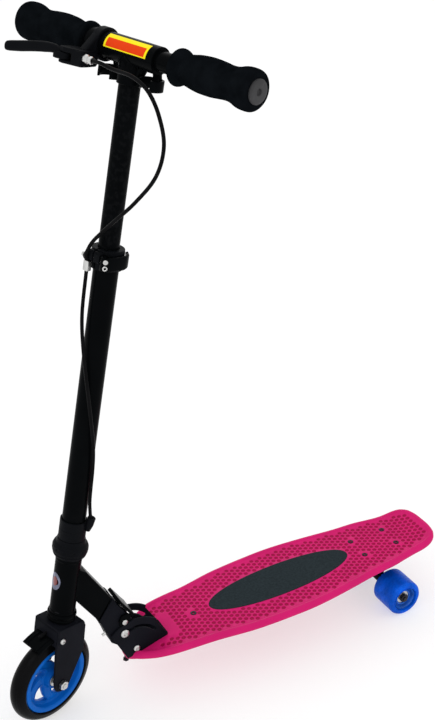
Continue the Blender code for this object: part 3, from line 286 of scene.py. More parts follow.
def carried(path: Array, closed: bool = False) -> tuple[Array, Array]:
    """Gives two cross vectors at each point of a path, turned as little as possible from one to the next.

    Args:
        path: Points of the path.
        closed: Whether the path is a loop, where the leftover turn is spread along it.

    Returns:
        The two unit vectors square to the path at each point.
    """
    ahead = np.roll(path, -1, axis=0) - np.roll(path, 1, axis=0)
    if not closed:
        ahead[0], ahead[-1] = path[1] - path[0], path[-1] - path[-2]
    ahead /= np.linalg.norm(ahead, axis=1)[:, None]
    side = [square_to(tuple(ahead[0]))[1]]
    for d in ahead[1:]:
        s = side[-1] - d * (side[-1] @ d)
        side.append(s / np.linalg.norm(s))
    a = np.asarray(side)
    b = np.cross(ahead, a)
    if closed:
        twist = math.atan2(a[-1] @ b[0], a[-1] @ a[0])
        turn = -twist * np.arange(len(path))[:, None] / (len(path) - 1)
        a, b = a * np.cos(turn) + b * np.sin(turn), b * np.cos(turn) - a * np.sin(turn)
    return a, b


class Shell:
    """A piece in the making: closed surfaces given as grids of points, welded into one mesh."""

    def __init__(self, name: str, frame: Frame) -> None:
        """Starts an empty piece in a frame.

        Args:
            name: Name of the piece.
            frame: The frame that its points are given in.
        """
        self.name = name
        self.frame = frame
        self.points: list[Array] = []
        self.lay: list[Array] = []
        self.faces: list[list[int]] = []
        self.count = 0

    def add(self, points: Array, faces: Array, lay: Array | None = None) -> "Shell":
        """Adds points and the faces between them.

        Args:
            points: Points in the piece's frame, in millimetres.
            faces: Rows of point numbers.
            lay: Two surface coordinates per point, for patterns that follow the surface and for the deck's painted
                shade.

        Returns:
            The piece itself.
        """
        flat = np.asarray(points, float).reshape(-1, 3)
        self.points.append(self.frame.row(flat))
        self.lay.append(np.zeros((len(flat), 2)) if lay is None else np.asarray(lay, float).reshape(-1, 2))
        self.faces.extend((np.asarray(faces) + self.count).tolist())
        self.count += len(flat)
        return self

    def grid(self, points: Array, loop_u: bool = False, loop_v: bool = False, lay: Array | None = None) -> "Shell":
        """Adds a grid of points with a quad in each cell; loop_u and loop_v close it on itself.

        Args:
            points: The points, one row after the other.
            loop_u: Whether the last row joins the first.
            loop_v: Whether each row is a ring.
            lay: Two surface coordinates per point.

        Returns:
            The piece itself.
        """
        n, m = points.shape[:2]
        i = np.arange(n if loop_u else n - 1)[:, None]
        j = np.arange(m if loop_v else m - 1)[None, :]
        k, l = (i + 1) % n, (j + 1) % m
        quads = np.stack([i * m + j, i * m + l, k * m + l, k * m + j], axis=-1).reshape(-1, 4)
        return self.add(points, quads, lay)

    def turned(self, origin: Point, direction: Point, rows: list, sides: int = 64, closed: bool = False,
               hexed: tuple = (), radius: float = 0.0) -> "Shell":
        """Turns a profile round an axis: point = origin + h direction + r (cos a, sin a), and a hexed row has a
        hexagon's radius, r / cos of the angle to the nearest flat.

        Args:
            origin: A point on the axis.
            direction: The axis.
            rows: Radius and height of each profile point.
            sides: Points round the axis.
            closed: Whether the profile is a loop, as a ring's is.
            hexed: Numbers of the rows that are hexagons.
            radius: Rounding of the profile's corners.

        Returns:
            The piece itself.
        """
        flat = np.zeros(len(rows), bool)
        flat[list(hexed)] = True
        profile = np.asarray(rows, float)
        if radius:
            kept = rounded(rows, radius, closed, 4)
            near = np.linalg.norm(kept[:, None] - profile[None], axis=2).argmin(axis=1)
            profile, flat = kept, flat[near]
        d, a, b = square_to(direction)
        angle = circle(sides)
        face = (angle + math.pi / 6) % (math.pi / 3) - math.pi / 6
        reach = profile[:, :1] * np.where(flat[:, None], 1.0 / np.cos(face)[None], 1.0)
        ring = np.cos(angle)[:, None] * a + np.sin(angle)[:, None] * b
        grid = np.asarray(origin) + profile[:, 1, None, None] * d + reach[:, :, None] * ring[None]
        lay = np.stack(np.broadcast_arrays(angle[None] / TURN, profile[:, 1:2]), axis=-1)
        return self.grid(grid, closed, True, lay)

    def plate(self, outline: Array, low: float, high: float, lay: Lay = Lay.SIDE, edge: float = 0.8,
              holes: tuple = (), hole_edge: float = 0.3) -> "Shell":
        """Makes a flat plate with rounded edges. Each outline is carried over the edge: at angle a of the edge it is
        moved in by edge (1 - sin a) and stands edge (1 - cos a) from the face. The faces are triangles between loops.

        Args:
            outline: Closed outline, two coordinates a row.
            low: Where the plate starts, through its thickness.
            high: Where it ends.
            lay: Which way the outline lies.
            edge: Radius of the edges.
            holes: Outlines of the holes.
            hole_edge: Radius of the holes' edges.

        Returns:
            The piece itself.
        """
        order = lay.value
        a = np.linspace(0.0, math.pi / 2, EDGE_STEPS)
        ends: list[list[Array]] = [[], []]
        for number, loop in enumerate([np.asarray(outline, float), *[np.asarray(h, float) for h in holes]]):
            e = min(hole_edge if number else edge, (high - low) * EDGE_SHARE)
            loop = wound(loop, number == 0)
            deep = np.concatenate([[LAND * e], e * (1 - np.sin(a)), e * (1 - np.sin(a))[::-1], [LAND * e]])
            height = np.concatenate([[low], low + e * (1 - np.cos(a)), high - e * (1 - np.cos(a))[::-1], [high]])
            rings = np.stack([np.column_stack([inset(loop, float(x)), np.full(len(loop), h)])
                              for x, h in zip(deep, height)])
            placed = np.empty_like(rings)
            placed[..., list(order)] = rings
            self.grid(placed, False, True)
            ends[0].append(placed[0])
            ends[1].append(placed[-1])
        for loops in ends:
            faces = tessellate_polygon([[Vector(tuple(p[list(order[:2])]) + (0.0,)) for p in loop] for loop in loops])
            self.add(np.vstack(loops), np.asarray(faces))
        return self
    def pair(self, outline: Array, inner: float, outer: float, edge: float, holes: tuple = ()) -> "Shell":
        """Makes two plates, one on each side of the middle plane.

        Args:
            outline: Closed outline in the side view.
            inner: Where each plate starts, off the middle plane.
            outer: Where it ends.
            edge: Radius of the edges.
            holes: Outlines of the holes.

        Returns:
            The piece itself.
        """
        for sign in (1.0, -1.0):
            low, high = sorted((sign * inner, sign * outer))
            self.plate(outline, low, high, Lay.SIDE, edge, holes)
        return self
    def tube(self, path: Array, radius: Array | float, sides: int = 24, closed: bool = False) -> "Shell":
        """Carries a circle along a path: point = path + r (cos a u + sin a v), with flat ends.

        Args:
            path: Points of the path.
            radius: Radius, or one radius a point.
            sides: Points round the tube.
            closed: Whether the path is a loop.

        Returns:
            The piece itself.
        """
        path = np.asarray(path, float)
        u, v = carried(path, closed)
        r = np.broadcast_to(np.asarray(radius, float), len(path))
        angle = circle(sides)
        ring = np.cos(angle)[None, :, None] * u[:, None] + np.sin(angle)[None, :, None] * v[:, None]
        grid = path[:, None] + r[:, None, None] * ring
        walked = np.concatenate([[0.0], np.cumsum(np.linalg.norm(np.diff(path, axis=0), axis=1))])
        if not closed:
            grid = capped(grid, path)
            walked = np.concatenate([walked[:1], walked, walked[-1:]])
        lay = np.stack(np.broadcast_arrays(angle[None] / TURN, walked[:, None]), axis=-1)
        return self.grid(grid, closed, True, lay)

    def bead(self, loop: Array, radius: float = 1.3) -> "Shell":
        """Lays a weld bead on a closed line: a thin tube whose radius ripples by an eighth along its length.

        Args:
            loop: The closed line.
            radius: Mean radius of the bead.

        Returns:
            The piece itself.
        """
        line = smooth_line(loop, max(60, len(loop)), True)
        ripple = radius * (1.0 + 0.12 * np.sin(np.arange(len(line)) * 2.1))
        return self.tube(line, ripple, 10, True)

    def build(self, finish: "Finish", body: str, *nodes: str, slot: str = "", angle: float = 32.0) -> bpy.types.Object:
        """Welds the points, points the faces outwards and gives the piece its finish and its body.

        Args:
            finish: The finish of the surface.
            body: The frame body that the piece moves with, or nothing to leave the piece unattached, as the cable is.
            nodes: The frame's nodes that it stands for.
            slot: The record's material slot; not used.
            angle: Faces that meet at more than this angle keep a sharp edge.

        Returns:
            The finished object.
        """
        mesh = bpy.data.meshes.new(self.name)
        mesh.from_pydata(np.vstack(self.points).tolist(), [], self.faces)
        layer = mesh.attributes.new("lay", "FLOAT2", "POINT")
        layer.data.foreach_set("vector", np.vstack(self.lay).astype(np.float32).ravel())
        work = bmesh.new()
        work.from_mesh(mesh)
        bmesh.ops.remove_doubles(work, verts=work.verts, dist=WELD)
        bmesh.ops.dissolve_degenerate(work, edges=work.edges, dist=TINY)
        bmesh.ops.recalc_face_normals(work, faces=work.faces)
        work.to_mesh(mesh)
        work.free()
        mesh.shade_smooth()
        mesh.set_sharp_from_angle(angle=math.radians(angle))
        mesh.materials.append(finish.material())
        obj = bpy.data.objects.new(self.name, mesh)
        bpy.context.scene.collection.objects.link(obj)
        if nodes:
            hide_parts(*nodes)
        if body:
            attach(obj, body)
        LOG.info("%s: %d faces", self.name, len(mesh.polygons))
        return obj


class Graph:
    """A shader tree, filled one node at a time."""

    def __init__(self, tree: bpy.types.NodeTree) -> None:
        """Takes the tree to fill."""
        self.tree = tree

    def fill(self, node: bpy.types.Node, inputs: dict) -> bpy.types.Node:
        """Fills a node's inputs.

        Args:
            node: The node.
            inputs: A value or another node's output for each input, by its name or number.

        Returns:
            The same node.
        """
        for name, value in inputs.items():
            if isinstance(value, Socket):
                self.tree.links.new(value, node.inputs[name])
            else:
                node.inputs[name].default_value = value
        return node

    def node(self, kind: str, inputs: dict | None = None) -> bpy.types.Node:
        """Adds a node of a kind, whose name goes without the prefix that all kinds share, and fills its inputs."""
        return self.fill(self.tree.nodes.new("ShaderNode" + kind), inputs or {})

    def place(self) -> Socket:
        """Gives the place on the object, in its own metres."""
        return self.node("TexCoord").outputs["Object"]

    def noise(self, scale: float, stretch: Point | None = None) -> Socket:
        """Gives cloudy noise.

        Args:
            scale: How many clouds a metre.
            stretch: How much finer the clouds are along each axis.

        Returns:
            The noise, around a half.
        """
        place = self.place()
        if stretch:
            place = self.node("Mapping", {"Scale": stretch, "Vector": place}).outputs["Vector"]
        return self.node("TexNoise", {"Scale": scale, "Detail": 3.0, "Vector": place}).outputs["Fac"]

    def mapped(self, value: Socket, low: float, high: float, start: float = CLOUDS[0],
               end: float = CLOUDS[1]) -> Socket:
        """Maps a value from start..end to low..high."""
        limits = {"From Min": start, "From Max": end, "To Min": low, "To Max": high}
        return self.node("MapRange", {"Value": value, **limits}).outputs["Result"]

    def mixed(self, base: Socket, color: Point, factor: Socket) -> Socket:
        """Mixes a colour over another by a factor.

        Args:
            base: The colour below.
            color: The colour above.
            factor: The upper colour's share.

        Returns:
            The mixed colour.
        """
        made = self.node("Mix")
        made.data_type = "RGBA"
        return self.fill(made, {"A": base, "B": (*color, 1.0), "Factor": factor}).outputs["Result"]

    def maths(self, work: str, a: Socket | float, b: Socket | float) -> Socket:
        """Gives what an operation makes of two values.

        Args:
            work: The operation.
            a: The first value.
            b: The second value.

        Returns:
            The result.
        """
        made = self.node("Math", {0: a, 1: b})
        made.operation = work
        return made.outputs["Value"]

    def laid(self) -> tuple[Socket, Socket]:
        """Gives the two surface coordinates that each piece carries.

        Returns:
            The two coordinates.
        """
        made = self.node("Attribute")
        made.attribute_name = "lay"
        split = self.node("SeparateXYZ", {"Vector": made.outputs["Vector"]})
        return split.outputs["X"], split.outputs["Y"]


@dataclass(frozen=True)
class Finish:
    """A surface finish: one colour with mottling, fine grain, uneven gloss and wear on its edges. The two scales are
    clouds and grains a metre, the depth of the grain is in millimetres, and mottle, uneven and wear are shares."""

    name: str
    color: Point
    rough: float = 0.5
    metal: float = 0.0
    specular: float = 0.5
    coat: float = 0.0
    grain: float = 900.0
    depth: float = 0.02
    mottle: float = 0.12
    mottle_scale: float = 25.0
    uneven: float = 0.12
    wear: float = 0.25
    worn: Point = (0.3, 0.3, 0.3)

    def material(self) -> bpy.types.Material:
        """Gives the finish's material, made once. Its name differs from those of the frame's own flat materials.

        Returns:
            The material.
        """
        name = "look_" + self.name
        if name in bpy.data.materials:
            return bpy.data.materials[name]
        made = bpy.data.materials.new(name)
        made.use_nodes = True
        graph = Graph(made.node_tree)
        gloss = graph.noise(self.mottle_scale * GLOSS_SCALE)
        bump = graph.node("Bump", {"Strength": 0.6, "Distance": self.depth * MM, "Height": self.relief(graph)})
        graph.fill(made.node_tree.nodes["Principled BSDF"], {
            "Base Color": graph.mixed(self.base(graph), self.worn, self.worn_edge(graph)),
            "Roughness": graph.mapped(gloss, self.rough * (1 - self.uneven), min(1.0, self.rough * (1 + self.uneven))),
            "Metallic": self.metal, "Specular IOR Level": self.specular, "Coat Weight": self.coat,
            "Coat Roughness": COAT_ROUGH, "Normal": bump.outputs["Normal"], **self.extra()})
        return made

    def base(self, graph: Graph) -> Socket:
        """Gives the base colour: the finish's own times 1 less or plus the mottle, in clouds.

        Args:
            graph: The material's tree.

        Returns:
            The colour.
        """
        ramp = graph.node("ValToRGB", {"Fac": graph.noise(self.mottle_scale)})
        for end, place, share in zip(ramp.color_ramp.elements, CLOUDS, (1 - self.mottle, 1 + self.mottle)):
            end.position = place
            end.color = (*(min(1.0, c * share) for c in self.color), 1.0)
        return ramp.outputs["Color"]

    def worn_edge(self, graph: Graph) -> Socket:
        """Gives the wear: sharp convex edges, broken up by noise.

        Args:
            graph: The material's tree.

        Returns:
            The share of the worn colour.
        """
        sharp = graph.mapped(graph.node("NewGeometry").outputs["Pointiness"], 0.0, self.wear, *SHARP)
        spots = graph.mapped(graph.noise(WEAR_SCALE), 0.0, 1.0, *SPOTS)
        return graph.maths("MULTIPLY", sharp, spots)

    def relief(self, graph: Graph) -> Socket:
        """Gives the height of the surface's grain."""
        return graph.noise(self.grain)

    def extra(self) -> dict:
        """Gives the shader's inputs that only some finishes set."""
        return {}


@dataclass(frozen=True)
class DeckPlastic(Finish):
    """Moulded plastic mixed to a deeper pink by the first surface coordinate: painted shade in its pockets and round
    its bolt seats.
    """

    # painted shade: the deeper pink that the pockets and the bolt seats are mixed to
    pocket_shade: Point = (0.27, 0.001, 0.035)
    # largest share of the painted shade
    most_shade: float = 0.8

    def base(self, graph: Graph) -> Socket:
        """Gives the mottled base, mixed to the painted shade colour where the surface is recessed."""
        return graph.mixed(super().base(graph), self.pocket_shade, graph.mapped(graph.laid()[0], 0.0, self.most_shade, 0.0, 1.0))


@dataclass(frozen=True)
class Brushed(Finish):
    """Plated metal with fine turning lines."""

    lines: Point = (0.15, 1.0, 1.0)

    def relief(self, graph: Graph) -> Socket:
        """Gives fine lines: noise drawn out along one axis."""
        return graph.noise(self.grain, self.lines)


@dataclass(frozen=True)
class Foam(Finish):
    """Closed-cell foam: small rounded cells over a softer swell."""

    def relief(self, graph: Graph) -> Socket:
        """Gives the cells: distance to the nearest cell centre, plus noise."""
        cells = graph.node("TexVoronoi", {"Scale": self.grain, "Vector": graph.place()})
        return graph.maths("ADD", cells.outputs["Distance"], graph.noise(self.grain * 0.3))


@dataclass(frozen=True)
class Cast(Finish):
    """Cast urethane that lets some light in."""

    through: float = 0.35
    bends: float = 1.46

    def extra(self) -> dict:
        """Lets light through the surface."""
        return {"Transmission Weight": self.through, "IOR": self.bends}


@dataclass(frozen=True)
class Label(Finish):
    """A plain two-tone label: a warm field inside a yellow border, wider along its top."""

    border: Point = (0.93, 0.78, 0.008)
    field_edges: tuple = ((0.045, 0.955), (0.07, 0.66))

    def base(self, graph: Graph) -> Socket:
        """Gives the field inside the border: a point is inside when it passes a test at each of the four edges.

        Args:
            graph: The material's tree.

        Returns:
            The colour.
        """
        tests = [graph.maths(sense, laid, edge) for laid, edges in zip(graph.laid(), self.field_edges)
                 for sense, edge in zip(("GREATER_THAN", "LESS_THAN"), edges)]
        inside = functools.reduce(functools.partial(graph.maths, "MULTIPLY"), tests)
        return graph.mixed(super().base(graph), self.border, graph.maths("SUBTRACT", 1.0, inside))


# the deck's plastic, with painted shade in its pockets and round its bolt seats
PINK = DeckPlastic("deck_pink", (0.58, 0.010, 0.135), 0.4, grain=1400.0, depth=0.03, mottle=0.06, wear=0.5,
                   worn=(0.7, 0.1, 0.3), specular=0.07)
PAD = Finish("pad_print", (0.019, 0.027, 0.031), 0.75, grain=2600.0, depth=0.05, mottle=0.2, mottle_scale=300.0,
             wear=0.1, specular=0.03)
PAINT = Finish("black_paint", (0.0018, 0.0022, 0.0026), 0.24, grain=520.0, depth=0.03, mottle=0.15, wear=0.3,
               worn=(0.05, 0.05, 0.055), specular=0.014)
SATIN = Finish("satin_paint", (0.0065, 0.007, 0.010), 0.45, grain=620.0, depth=0.04, mottle=0.18, wear=0.4,
               worn=(0.08, 0.08, 0.085), specular=0.02)
PLASTIC = Finish("black_plastic", (0.0035, 0.004, 0.0052), 0.45, grain=1500.0, depth=0.05, mottle=0.2, wear=0.3,
                 worn=(0.03, 0.03, 0.032), specular=0.03)
# lighter grey than the other black plastic: the plug's own tone, partly painted highlight on its end face
PLUG = Finish("plug_plastic", (0.042, 0.042, 0.044), 0.5, grain=1500.0, depth=0.06, mottle=0.2, wear=0.3,
              worn=(0.09, 0.09, 0.09), specular=0.1)
ZINC = Brushed("zinc_steel", (0.58, 0.58, 0.57), 0.3, 1.0, grain=1800.0, depth=0.03, mottle=0.12,
               mottle_scale=160.0, wear=0.6, worn=(0.8, 0.8, 0.78))
OXIDE = Brushed("black_oxide", (0.03, 0.028, 0.034), 0.4, 0.9, grain=1800.0, depth=0.03, mottle=0.25,
                mottle_scale=160.0, wear=0.5, worn=(0.25, 0.25, 0.25))
TYRE = Finish("tyre_rubber", (0.003, 0.003, 0.0034), 0.28, grain=700.0, depth=0.04, mottle=0.25, wear=0.15,
              worn=(0.02, 0.02, 0.02), specular=0.04)
RUBBER = Finish("rubber", (0.0075, 0.0075, 0.0075), 0.6, grain=1200.0, depth=0.05, mottle=0.25, wear=0.1,
                specular=0.1)
FOAM = Foam("grip_foam", (0.0038, 0.0048, 0.006), 0.95, grain=1300.0, depth=0.35, mottle=0.3, mottle_scale=60.0,
            wear=0.1, worn=(0.02, 0.02, 0.022), specular=0.0)
RIM = Finish("blue_rim", (0.002, 0.105, 0.46), 0.3, grain=1100.0, depth=0.02, mottle=0.12, mottle_scale=18.0,
             wear=0.5, worn=(0.1, 0.3, 0.68), specular=0.05)
WHEEL = Cast("blue_wheel", (0.001, 0.088, 0.6), 0.28, grain=600.0, depth=0.04, mottle=0.3, mottle_scale=45.0,
             wear=0.3, worn=(0.2, 0.34, 0.75), specular=0.05, through=0.05)
LENS = Cast("wheel_face", (0.02, 0.12, 0.52), 0.22, grain=600.0, depth=0.02, mottle=0.25, mottle_scale=60.0,
            wear=0.5, worn=(0.35, 0.48, 0.85), specular=0.12, coat=0.05, through=0.05)
JACKET = Finish("cable_jacket", (0.0045, 0.0045, 0.005), 0.35, grain=800.0, depth=0.02, mottle=0.2, wear=0.1,
                specular=0.02)
LABEL = Label("bar_label", (0.77, 0.05, 0.003), 0.4, grain=900.0, depth=0.01, mottle=0.05, wear=0.2,
              worn=(0.9, 0.8, 0.6), specular=0.06)
BADGE = Brushed("badge_silver", (0.16, 0.17, 0.24), 0.35, 0.8, grain=1500.0, depth=0.02, mottle=0.4,
                mottle_scale=120.0, wear=0.8, worn=(0.75, 0.75, 0.78))
BADGE_RED = Finish("badge_red", (0.14, 0.004, 0.006), 0.3, grain=900.0, depth=0.01, mottle=0.2, coat=0.4)


@dataclass
class Deck:
    """The board with its waffle-patterned top, its oval pad and its bolts. The columns of its table are the place along
    the board, the height of the rim, half the width, the depth of the dish and the hollow of the underside."""

    table: Array = field(default_factory=lambda: np.array([
        (-122, 66.5, 9, 1.5, 0), (-124.5, 68.5, 16, 2.7, 0), (-129, 71.5, 23, 4.5, 0), (-139, 75.6, 34, 5.8, 0),
        (-155, 80.2, 46.5, 5.8, 0), (-173, 84.9, 56, 5.4, 0), (-189, 88.2, 61.5, 4.2, 0), (-205, 89.5, 64, 2.9, 0),
        (-225, 90.3, 66, 1.8, 0), (-257, 90.865, 69, 1.5, 0), (-306, 92.614, 77, 1.5, 3.5),
        (-340, 93.828, 80, 1.5, 3.5), (-376, 95.113, 81.5, 1.5, 3.5), (-413, 96.434, 82, 1.5, 3.5),
        (-451, 97.79, 79.5, 1.5, 3.5), (-500, 99.54, 73.5, 1.5, 3.5), (-545, 101.146, 67, 1.5, 3.5),
        (-585, 102.5, 63.5, 1.5, 3.5), (-610, 103.2, 59, 1.5, 3.5), (-632, 104, 55.5, 1.5, 3.5),
        (-648, 105.6, 54.5, 1.5, 3.5), (-662, 108.4, 52.5, 1.5, 3.5), (-673, 111.2, 47.5, 1.2, 2.0),
        (-681, 113.4, 38, 0.5, 0), (-684, 114.2, 30, 0, 0)], float)[::-1])
    thick: float = 13.0
    pitch: float = 9.1
    corners: int = 12
    lattice_x: float = -401.0
    # radius, sink and share of painted shade of each ring of a pocket, from its rim down
    rings: tuple = ((3.75, 0.0, 0.0), (3.4, -0.22, 0.25), (2.75, -1.25, 1.0))
    bolts: tuple = ((-553.25, 20.65), (-553.25, -20.65), (-616.75, 20.65), (-616.75, -20.65), (-243.0, 0.0))
    seat: tuple = (4.6, 5.6)
    clear: tuple = (3.6, 9.4)
    bare: tuple = (-209.0, 28.0)
    pad_front: float = -272.0
    pad_rear: float = -530.0
    pad_half: float = 36.0
    pad_clear: tuple = (5.0, 4.6)
    narrow: tuple = (24.0, 0.35)  # half width under which the rim's section shrinks, and its least share
    shoulder: float = -6.5  # the section shrinks in height above this
    ring_points: int = 18
    outer_ring: float = 7.2
    seat_depth: float = 1.0
    # share of painted shade at the middle of a bolt's seat
    seat_shade: float = 0.6
    pocket_r: float = 3.7
    on_edge: float = 0.01

    def at(self, x: Array, column: int) -> Array:
        """Reads a column of the table at x."""
        return hermite(np.asarray(x, float), self.table[:, 0], self.table[:, column])

    def top(self, x: Array) -> Array:
        """Gives the height of the middle of the top: the rim's height less the dish."""
        return self.at(x, 1) - self.at(x, 3)

    def under(self, x: Array) -> Array:
        """Gives the height of the underside: the rim's height less the thickness plus the hollow."""
        return self.at(x, 1) - self.thick + self.at(x, 4)

    def pad_place(self) -> tuple[float, float]:
        """Gives the middle of the pad and half its length."""
        return (self.pad_front + self.pad_rear) / 2, (self.pad_front - self.pad_rear) / 2

    def outline(self, count: int = 640) -> Array:
        """Gives the plan of the board: the table's half widths down both sides, joined by a smooth closed curve.

        Args:
            count: Number of points.

        Returns:
            The outline, anticlockwise.
        """
        side = self.table[:, [0, 2]]
        tail = [(-686.6, 16.0), (-687.0, 0.0), (-686.6, -16.0)]
        nose = [(-121.6, -5.0), (-121.6, 5.0)]
        loop = np.vstack([side[::-1], tail, side * (1, -1), nose])
        loop = smooth_line(loop, count, True)
        loop[:, 0] = np.clip(loop[:, 0], -687.0, -121.0)
        return wound(loop, True)

    def rim_rows(self) -> Array:
        """Gives the rim's section as rows of inset, height, share of the dish and share of the hollow.

        Returns:
            The rows, from the top round the edge to the underside.
        """
        rows = np.array([(10.5, 0, 1, 0), (9.6, 0, 0.82, 0), (8.5, 0, 0.35, 0), (7.4, 0.02, 0.05, 0), (5.6, 0.03, 0, 0),
                         (3.6, -0.45, 0, 0), (1.9, -1.6, 0, 0), (0.7, -3.2, 0, 0), (0.05, -5.4, 0, 0),
                         (0.15, -7.6, 0, 0), (1.2, -9.9, 0, 0), (3.0, -11.6, 0, 0), (5.4, -12.6, 0, 0),
                         (8.4, -13, 0, 0), (11, -13, 0, 0), (12.2, -12.9, 0, 0.1), (13.2, -13, 0, 0.75),
                         (14, -13, 0, 1)], float)
        return smooth_line(rows, 34)

    def rim(self, shell: Shell, loop: Array) -> tuple[Array, Array]:
        """Carries the rim's section round the outline and gives its two inner edges.

        Args:
            shell: The deck's shell.
            loop: Plan of the board.

        Returns:
            The inner edge on the top and the one on the underside.
        """
        rows = self.rim_rows()
        shrink = np.clip(self.at(loop[:, 0], 2) / self.narrow[0], self.narrow[1], 1.0)
        ahead = np.roll(loop, -2, axis=0) - np.roll(loop, 2, axis=0)
        inward = np.stack([-ahead[:, 1], ahead[:, 0]], axis=1) / np.linalg.norm(ahead, axis=1)[:, None]
        for _ in range(6):
            inward = (np.roll(inward, 1, axis=0) + inward * 2 + np.roll(inward, -1, axis=0)) / 4
        inward /= np.linalg.norm(inward, axis=1)[:, None]
        plan = loop[None] + rows[:, :1, None] * (inward * shrink[:, None])[None]
        x = plan[..., 0]
        z = (self.at(x, 1) + rows[:, 1:2] * np.where(rows[:, 1:2] > self.shoulder, shrink, 1.0)
             - rows[:, 2:3] * self.at(x, 3) + rows[:, 3:4] * self.at(x, 4))
        grid = np.concatenate([plan, z[..., None]], axis=2)
        shell.grid(grid, False, True)
        return grid[0], grid[-1]

    def cells(self, field_loop: Array) -> Array:
        """Gives the middles of the pockets: a lattice of rows one pitch apart, each column half a pitch on.

        Args:
            field_loop: Plan of the patterned field.

        Returns:
            The middles that are inside the field and clear of bolts, of the pad and of the smooth patch at the nose.
        """
        across = self.pitch * math.cos(math.radians(30.0))
        i, j = np.meshgrid(np.arange(-40, 40), np.arange(-12, 13), indexing="ij")
        centre = np.stack([self.lattice_x + i * across, (j + 0.5 * (i % 2)) * self.pitch], axis=-1).reshape(-1, 2)
        off_rim, off_bolt = self.clear
        keep = self.inside(centre, field_loop[:, :2]) & (self.gap(centre, field_loop) > off_rim)
        keep &= self.gap(centre, np.array(self.bolts)) > off_bolt
        keep &= ~((centre[:, 0] > self.bare[0]) & (np.abs(centre[:, 1]) < self.bare[1]))
        middle, reach = self.pad_place()
        away = (centre - (middle, 0.0)) / np.add((reach, self.pad_half), self.pad_clear)
        return centre[keep & ((away ** 2).sum(axis=1) > 1.0)]

    @staticmethod
    def gap(points: Array, others: Array) -> Array:
        """Gives the distance from each point to the nearest of the others, in the plan.

        Args:
            points: The points.
            others: What they are measured to.

        Returns:
            One distance a point.
        """
        return np.concatenate([np.linalg.norm(points[k:k + PART, None] - others[None, :, :2], axis=2).min(axis=1)
                               for k in range(0, len(points), PART)])

    @staticmethod
    def inside(points: Array, loop: Array) -> Array:
        """Tells which points lie in a closed outline: those with an odd number of its sides to their right.

        Args:
            points: The points.
            loop: The outline.

        Returns:
            One truth value a point.
        """
        a, b = loop, np.roll(loop, -1, axis=0)
        y = points[:, 1:2]
        spans = (a[:, 1] > y) != (b[:, 1] > y)
        slope = np.where(b[:, 1] == a[:, 1], 1e-9, b[:, 1] - a[:, 1])
        cross = a[:, 0] + (y - a[:, 1]) * (b[:, 0] - a[:, 0]) / slope
        return (spans & (points[:, :1] < cross)).sum(axis=1) % 2 == 1

    def held(self, edge: Array) -> Array:
        """Gives more points for the flat of the top: rings round the bolts and a lattice on the smooth patch.

        Args:
            edge: Inner edge of the rim.

        Returns:
            The points in the plan.
        """
        full = self.ring_points
        rings = [(x + r * math.cos(a), y + r * math.sin(a)) for x, y in self.bolts
                 for r, count in ((0.0, 1), (self.seat[0], full), (self.seat[1], full), (self.outer_ring, full))
                 for a in circle(full)[:count]]
        patch = np.array([(x, y) for x in np.arange(-206.0, -136.0, 7.0) for y in np.arange(-24.0, 25.0, 8.0)])
        patch = patch[self.inside(patch, edge[:, :2]) & (self.gap(patch, edge) > 3.0)]
        return np.vstack([rings, patch])

    def top_field(self, shell: Shell, edge: Array) -> None:
        """Fills the top with pockets. Each is a soft hexagon, r = apothem / cos of the angle to the nearest side, mixed
        half with a circle, sunk ring by ring. The flat between them is triangulated round their rims.

        Args:
            shell: The deck's shell.
            edge: Inner edge of the rim.
        """
        centre = self.cells(edge)
        angle = np.radians(np.arange(self.corners) * 360.0 / self.corners)
        shape = 0.55 / np.cos(angle % (math.pi / 3) - math.pi / 6) + 0.45 * 1.04
        unit = np.stack([np.cos(angle), np.sin(angle)], axis=1) * shape[:, None]
        rings = np.stack([centre[:, None] + r * unit[None] for r, _, _ in self.rings])
        self.flat(shell, edge, centre, rings[0])
        self.pockets(shell, centre, rings)

    def flat(self, shell: Shell, edge: Array, centre: Array, rims: Array) -> None:
        """Triangulates the flat between the pockets, a little sunk round each bolt, with painted shade on each bolt's
        seat.

        Args:
            shell: The deck's shell.
            edge: Inner edge of the rim.
            centre: Middles of the pockets.
            rims: Outlines of the pockets.
        """
        first = np.arange(len(edge))
        k = np.arange(rims.shape[0] * self.corners).reshape(-1, self.corners) + len(edge)
        sides = np.vstack([np.stack([first, np.roll(first, -1)], axis=-1),
                           np.stack([k, np.roll(k, -1, axis=1)], axis=-1).reshape(-1, 2)])
        ground = np.vstack([edge[:, :2], rims.reshape(-1, 2), self.held(edge)])
        out = delaunay_2d_cdt([Vector(p) for p in ground.tolist()], sides.tolist(), [], 0, 1e-5)
        spots, faces = np.array([tuple(v) for v in out[0]]), np.array(out[2])
        middle = spots[faces].mean(axis=1)
        keep = self.inside(middle, edge[:, :2]) & (self.gap(middle, centre) > self.pocket_r)
        away = np.linalg.norm(spots[:, None] - np.asarray(self.bolts)[None], axis=2)
        z = self.top(spots[:, 0]) - np.interp(away, self.seat, (self.seat_depth, 0.0)).sum(axis=1)
        # painted shade round each bolt's seat, carried in the surface coordinates
        sunk = np.interp(away, self.seat, (self.seat_shade, 0.0)).max(axis=1)
        to_edge = np.linalg.norm(spots[:, None] - edge[None, :, :2], axis=2)
        z = np.where(to_edge.min(axis=1) < self.on_edge, edge[to_edge.argmin(axis=1), 2], z)
        shell.add(np.column_stack([spots, z]), faces[keep], np.column_stack([sunk, sunk]))

